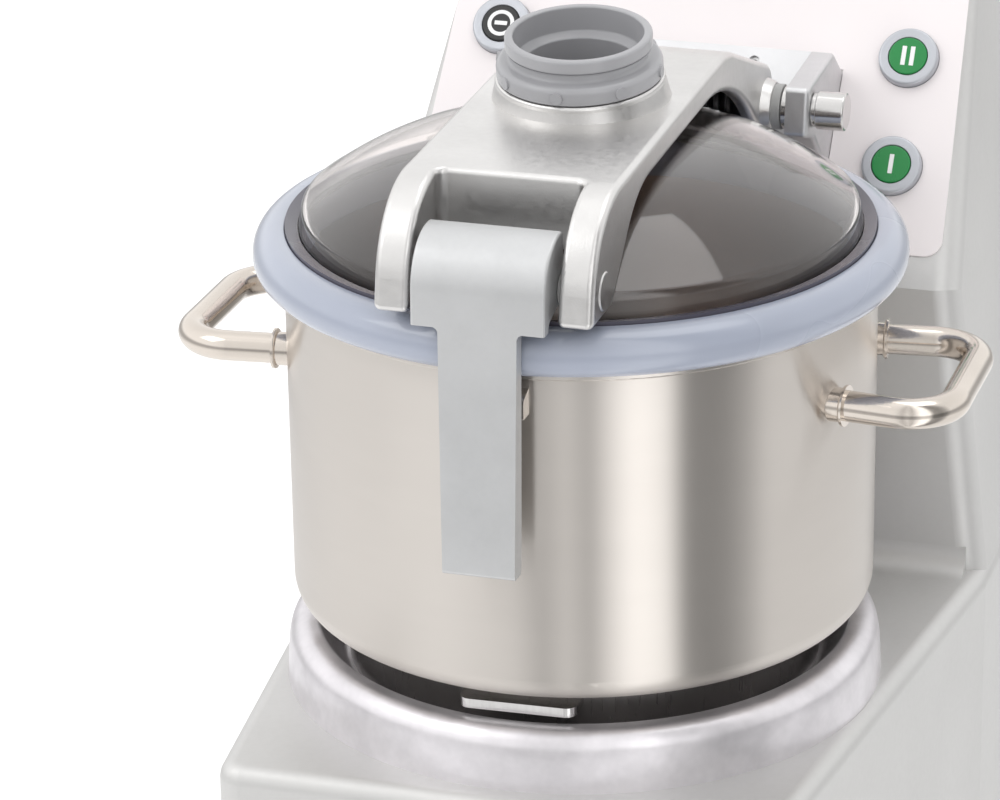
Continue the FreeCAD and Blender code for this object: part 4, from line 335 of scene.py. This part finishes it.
# ---------------------------------------------------------------- added pieces
def piece(name, build, body, slot, smooth=True, paint=None):
    """A mesh piece built in the row frame, riding a CAD body."""
    mesh = bpy.data.meshes.new(name)
    form = bmesh.new()
    build(form)
    bmesh.ops.recalc_face_normals(form, faces=form.faces)
    form.to_mesh(mesh)
    form.free()
    item = bpy.data.objects.new(name, mesh)
    bpy.context.scene.collection.objects.link(item)
    mesh.materials.append(PAINTS[paint or slot].material)
    if smooth:
        for face in mesh.polygons:
            face.use_smooth = True
        mesh.set_sharp_from_angle(angle=math.radians(35))
    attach(item, body)
    return item


def outline_slab(form, outline, thickness, place):
    """A closed outline in local x, y, given a thickness along local z."""
    low = [form.verts.new(place @ Vector((x, y, 0))) for x, y in outline]
    high = [form.verts.new(place @ Vector((x, y, thickness))) for x, y in outline]
    form.faces.new(low[::-1])
    form.faces.new(high)
    for i in range(len(outline)):
        j = (i + 1) % len(outline)
        form.faces.new((low[i], low[j], high[j], high[i]))


def rounded_bar(width, height, radius, steps=6):
    points = []
    for cx, cy, start in ((1, 1, 0), (-1, 1, 90), (-1, -1, 180), (1, -1, 270)):
        for k in range(steps + 1):
            angle = math.radians(start + 90 * k / steps)
            points.append((cx * (width / 2 - radius) + radius * math.cos(angle),
                           cy * (height / 2 - radius) + radius * math.sin(angle)))
    return points


def ring_slab(form, outer, inner, thickness, place, steps=48):
    loops = []
    for radius, z in ((outer, 0), (outer, thickness), (inner, thickness), (inner, 0)):
        loops.append([form.verts.new(place @ Vector((radius * math.cos(2 * math.pi * k / steps),
                                                     radius * math.sin(2 * math.pi * k / steps), z)))
                      for k in range(steps)])
    for a in range(4):
        for k in range(steps):
            m = (k + 1) % steps
            b = (a + 1) % 4
            form.faces.new((loops[a][k], loops[a][m], loops[b][m], loops[b][k]))


def rounded(corners, steps=10):
    """Points of a closed outline whose corners (r, z) or (r, z, rounding) are in millimetres."""
    points = []
    for i, corner in enumerate(corners):
        here = Vector(corner[:2])
        if len(corner) == 2:
            points.append(here)
            continue
        before = (Vector(corners[i - 1][:2]) - here).normalized()
        after = (Vector(corners[(i + 1) % len(corners)][:2]) - here).normalized()
        half = before.angle(after) / 2
        middle = here + (before + after).normalized() * (corner[2] / math.sin(half))
        start = here + before * (corner[2] / math.tan(half)) - middle
        end = here + after * (corner[2] / math.tan(half)) - middle
        for k in range(steps + 1):
            share = k / steps
            sweep = start.angle(end)
            points.append(middle + (start * math.sin((1 - share) * sweep) + end * math.sin(share * sweep))
                          / math.sin(sweep))
    return points


def lathe(form, corners, place, turns=240, steps=10):
    """A ring turned from a closed outline round the place's z."""
    outline = rounded(corners, steps)
    rings = []
    for k in range(turns):
        angle = 2 * math.pi * k / turns
        rings.append([form.verts.new(place @ Vector((p.x * math.cos(angle) / 1000, p.x * math.sin(angle) / 1000,
                                                     p.y / 1000))) for p in outline])
    count = len(outline)
    for k in range(turns):
        ahead_ring = rings[(k + 1) % turns]
        for a in range(count):
            b = (a + 1) % count
            form.faces.new((rings[k][a], rings[k][b], ahead_ring[b], ahead_ring[a]))


def on_key(node):
    """A frame in the middle of a key's outer face: x across, y up the panel, z outwards."""
    low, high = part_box(node)
    normal = Vector((0, -math.cos(TILT), math.sin(TILT)))
    slope = Vector((0, math.sin(TILT), math.cos(TILT)))
    middle = (low + high) / 2
    reach = max((v.co - middle).dot(normal) for v in NODES[node].data.vertices)
    # the box's middle lies off the key's own axis, so the cap's vertices give the centre
    face = [v.co for v in NODES[node].data.vertices if (v.co - middle).dot(normal) > reach - 0.0005]
    centre = sum(face, Vector()) / len(face)
    centre += normal * (reach - (centre - middle).dot(normal))
    place = Matrix((Vector((1, 0, 0)), slope, normal)).transposed().to_4x4()
    place.translation = centre
    return place


MARK = 0.00012
two = on_key("button_two")
piece("mark_two", lambda form: [
    outline_slab(form, [(x + dx, y) for x, y in rounded_bar(0.0025, 0.0112, 0.0002)], MARK, two)
    for dx in (-0.0024, 0.0024)], "key_two", "print_white")
one = on_key("button_one")
piece("mark_one", lambda form: outline_slab(form, rounded_bar(0.0025, 0.0112, 0.0002), MARK, one),
      "key_one", "print_white")
pulse = on_key("button_pulse")


def pulse_mark(form):
    ring_slab(form, 0.0078, 0.0056, MARK, pulse)
    outline_slab(form, rounded_bar(0.0074, 0.0024, 0.0003), MARK, pulse)


piece("mark_pulse", pulse_mark, "key_pulse", "print_white")
stop = on_key("button_stop")
piece("mark_stop", lambda form: ring_slab(form, 0.0048, 0.0033, MARK, stop), "key_stop", "print_white")

# The lid's turned pieces again, with finer curves than the CAD mesh has.
AXIS = Matrix.Translation(at(0, 0, 0))
ring_low, ring_high = ((corner - at(0, 0, 0)) * 1000 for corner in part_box("lid_seal_ring"))
dome_low, dome_high = ((corner - at(0, 0, 0)) * 1000 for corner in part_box("lid_dome"))
seat = dome_low.z
edge = dome_high.x
seal = piece("seal_ring", lambda form: lathe(form, [
    (edge - 7.1, ring_low.z, 1), (ring_high.x, ring_low.z, 9), (ring_high.x, ring_high.z, 12.6),
    (edge + 0.3, ring_high.z, 0.8), (edge + 0.3, seat), (edge - 7.1, seat)], AXIS), "lid", "ring_plastic")
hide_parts("lid_seal_ring")
# a thin lip at the seal ring's inner edge; its shape is part of the ring, its dark violet paint is painted
# shade
piece("seal_lip", lambda form: lathe(form, [
    (edge - 6.3, seat + 3.3), (edge + 0.2, seat + 3.3), (edge + 0.2, seat + 5.6), (edge - 6.3, seat + 4.1)],
    AXIS), "lid", "ring_plastic", paint="lip_painted_shade")
crown = dome_high.z
dome = piece("clear_dome", lambda form: lathe(form, [
    (edge, seat), (edge, seat + 3.2, 1), (edge - 6.6, seat + 3.2), (edge - 8.6, crown - 35, 7),
    (edge - 60.6, crown, 160), (38, crown), (38, crown - 3), (edge - 61.5, crown - 3, 157),
    (edge - 11.6, crown - 36.8, 4), (edge - 9.6, seat)], AXIS, steps=24), "lid", "clear_plastic")
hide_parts("lid_dome")

# The base ring with its full soft shoulder.
base_low, base_high = ((corner - at(0, 0, 0)) * 1000 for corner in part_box("base_ring"))
foot, top = base_high.x, base_high.z
base = piece("base_ring_casting", lambda form: lathe(form, [
    (60.3, base_low.z), (foot, base_low.z), (foot - 1.0, 18), (foot - 3.2, top, 11), (foot - 17, top, 2.5),
    (foot - 30, 12, 4), (60.3, 12)], AXIS), "machine", "rough_cast")
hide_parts("base_ring")

# ---------------------------------------------------------------- floor and light
mesh = bpy.data.meshes.new("floor")
form = bmesh.new()
bmesh.ops.create_grid(form, x_segments=1, y_segments=1, size=20)
form.to_mesh(mesh)
form.free()
floor = bpy.data.objects.new("floor", mesh)
bpy.context.scene.collection.objects.link(floor)
ground = Paint("floor_paper", (0.86, 0.86, 0.86), 0.0, 0.9)
ground.shade(ground.noise(0.4, 2), 0.995, 1.005)
ground.shader.inputs["Emission Color"].default_value = (1, 1, 1, 1)
ground.shader.inputs["Emission Strength"].default_value = 0.25
floor.visible_glossy = False
mesh.materials.append(ground.material)

# Studio walls: light and dark stands round the machine, by angle from its front towards its right.
WALLS = [(-180, 0.95), (-140, 1.0), (-95, 1.1), (-40, 1.05), (-12, 0.95), (0, 0.62), (9, 0.9), (19, 0.6),
         (29, 1.25), (36, 1.65), (49, 1.6), (56, 0.36), (72, 0.30), (82, 0.45), (92, 0.92), (140, 0.95)]
world = bpy.data.worlds.new("studio")
bpy.context.scene.world = world
world.use_nodes = True
tree = world.node_tree
back = tree.nodes["Background"]
split = tree.nodes.new("ShaderNodeSeparateXYZ")
tree.links.new(tree.nodes.new("ShaderNodeTexCoord").outputs["Generated"], split.inputs["Vector"])
forward = tree.nodes.new("ShaderNodeMath")
forward.operation = "MULTIPLY"
forward.inputs[1].default_value = -1
tree.links.new(split.outputs["Y"], forward.inputs[0])
angle = tree.nodes.new("ShaderNodeMath")
angle.operation = "ARCTAN2"
tree.links.new(split.outputs["X"], angle.inputs[0])
tree.links.new(forward.outputs["Value"], angle.inputs[1])
share = tree.nodes.new("ShaderNodeMapRange")
share.inputs["From Min"].default_value = -math.pi
share.inputs["From Max"].default_value = math.pi
tree.links.new(angle.outputs["Value"], share.inputs["Value"])
ramp = tree.nodes.new("ShaderNodeValToRGB")
stops = ramp.color_ramp.elements
for i, (degrees, level) in enumerate(WALLS):
    stop = stops[i] if i < 2 else stops.new(1.0)
    stop.position = (degrees + 180) / 360
    stop.color = (level / 2, level / 2, level / 2, 1)
tree.links.new(share.outputs["Result"], ramp.inputs["Fac"])
# ... and by height: bright table, a dark line at the walls' foot, bright walls and ceiling.
HEIGHTS = [(-90, 1.0), (-30, 1.05), (-22, 1.0), (-10, 0.5), (-1, 0.5), (9, 1.1), (50, 1.0), (90, 1.1)]
rise = tree.nodes.new("ShaderNodeMath")
rise.operation = "ARCSINE"
tree.links.new(split.outputs["Z"], rise.inputs[0])
level_share = tree.nodes.new("ShaderNodeMapRange")
level_share.inputs["From Min"].default_value = -math.pi / 2
level_share.inputs["From Max"].default_value = math.pi / 2
tree.links.new(rise.outputs["Value"], level_share.inputs["Value"])
heights = tree.nodes.new("ShaderNodeValToRGB")
stops = heights.color_ramp.elements
for i, (degrees, level) in enumerate(HEIGHTS):
    stop = stops[i] if i < 2 else stops.new(1.0)
    stop.position = (degrees + 90) / 180
    stop.color = (level / 1.2, level / 1.2, level / 1.2, 1)
tree.links.new(level_share.outputs["Result"], heights.inputs["Fac"])
product = tree.nodes.new("ShaderNodeMix")
product.data_type = "RGBA"
product.blend_type = "MULTIPLY"
product.inputs["Factor"].default_value = 1.0
tree.links.new(ramp.outputs["Color"], product.inputs["A"])
tree.links.new(heights.outputs["Color"], product.inputs["B"])
tree.links.new(product.outputs["Result"], back.inputs["Color"])
back.inputs["Strength"].default_value = 2.0 * 1.2 * 1.12
plain = tree.nodes.new("ShaderNodeBackground")
plain.inputs["Strength"].default_value = 1.0
path = tree.nodes.new("ShaderNodeLightPath")
choice = tree.nodes.new("ShaderNodeMixShader")
tree.links.new(path.outputs["Is Camera Ray"], choice.inputs["Fac"])
tree.links.new(back.outputs["Background"], choice.inputs[1])
tree.links.new(plain.outputs["Background"], choice.inputs[2])
tree.links.new(choice.outputs["Shader"], tree.nodes["World Output"].inputs["Surface"])


def softbox(name, place, aim, width, height, power, color=(1, 1, 1)):
    light = bpy.data.lights.new(name, "AREA")
    light.shape = "RECTANGLE"
    light.size = width
    light.size_y = height
    light.energy = power
    light.color = color
    item = bpy.data.objects.new(name, light)
    bpy.context.scene.collection.objects.link(item)
    item.location = place
    item.rotation_mode = "QUATERNION"
    item.rotation_quaternion = (Vector(aim) - Vector(place)).to_track_quat("-Z", "Y")
    return item


middle = at(0, 0, 150)
softbox("key", (-1.5, -1.2, 2.4), middle, 1.2, 1.2, 9)
softbox("top", (0.4, 0.3, 2.6), middle, 1.4, 1.0, 6)

bpy.context.scene.view_settings.view_transform = "Standard"
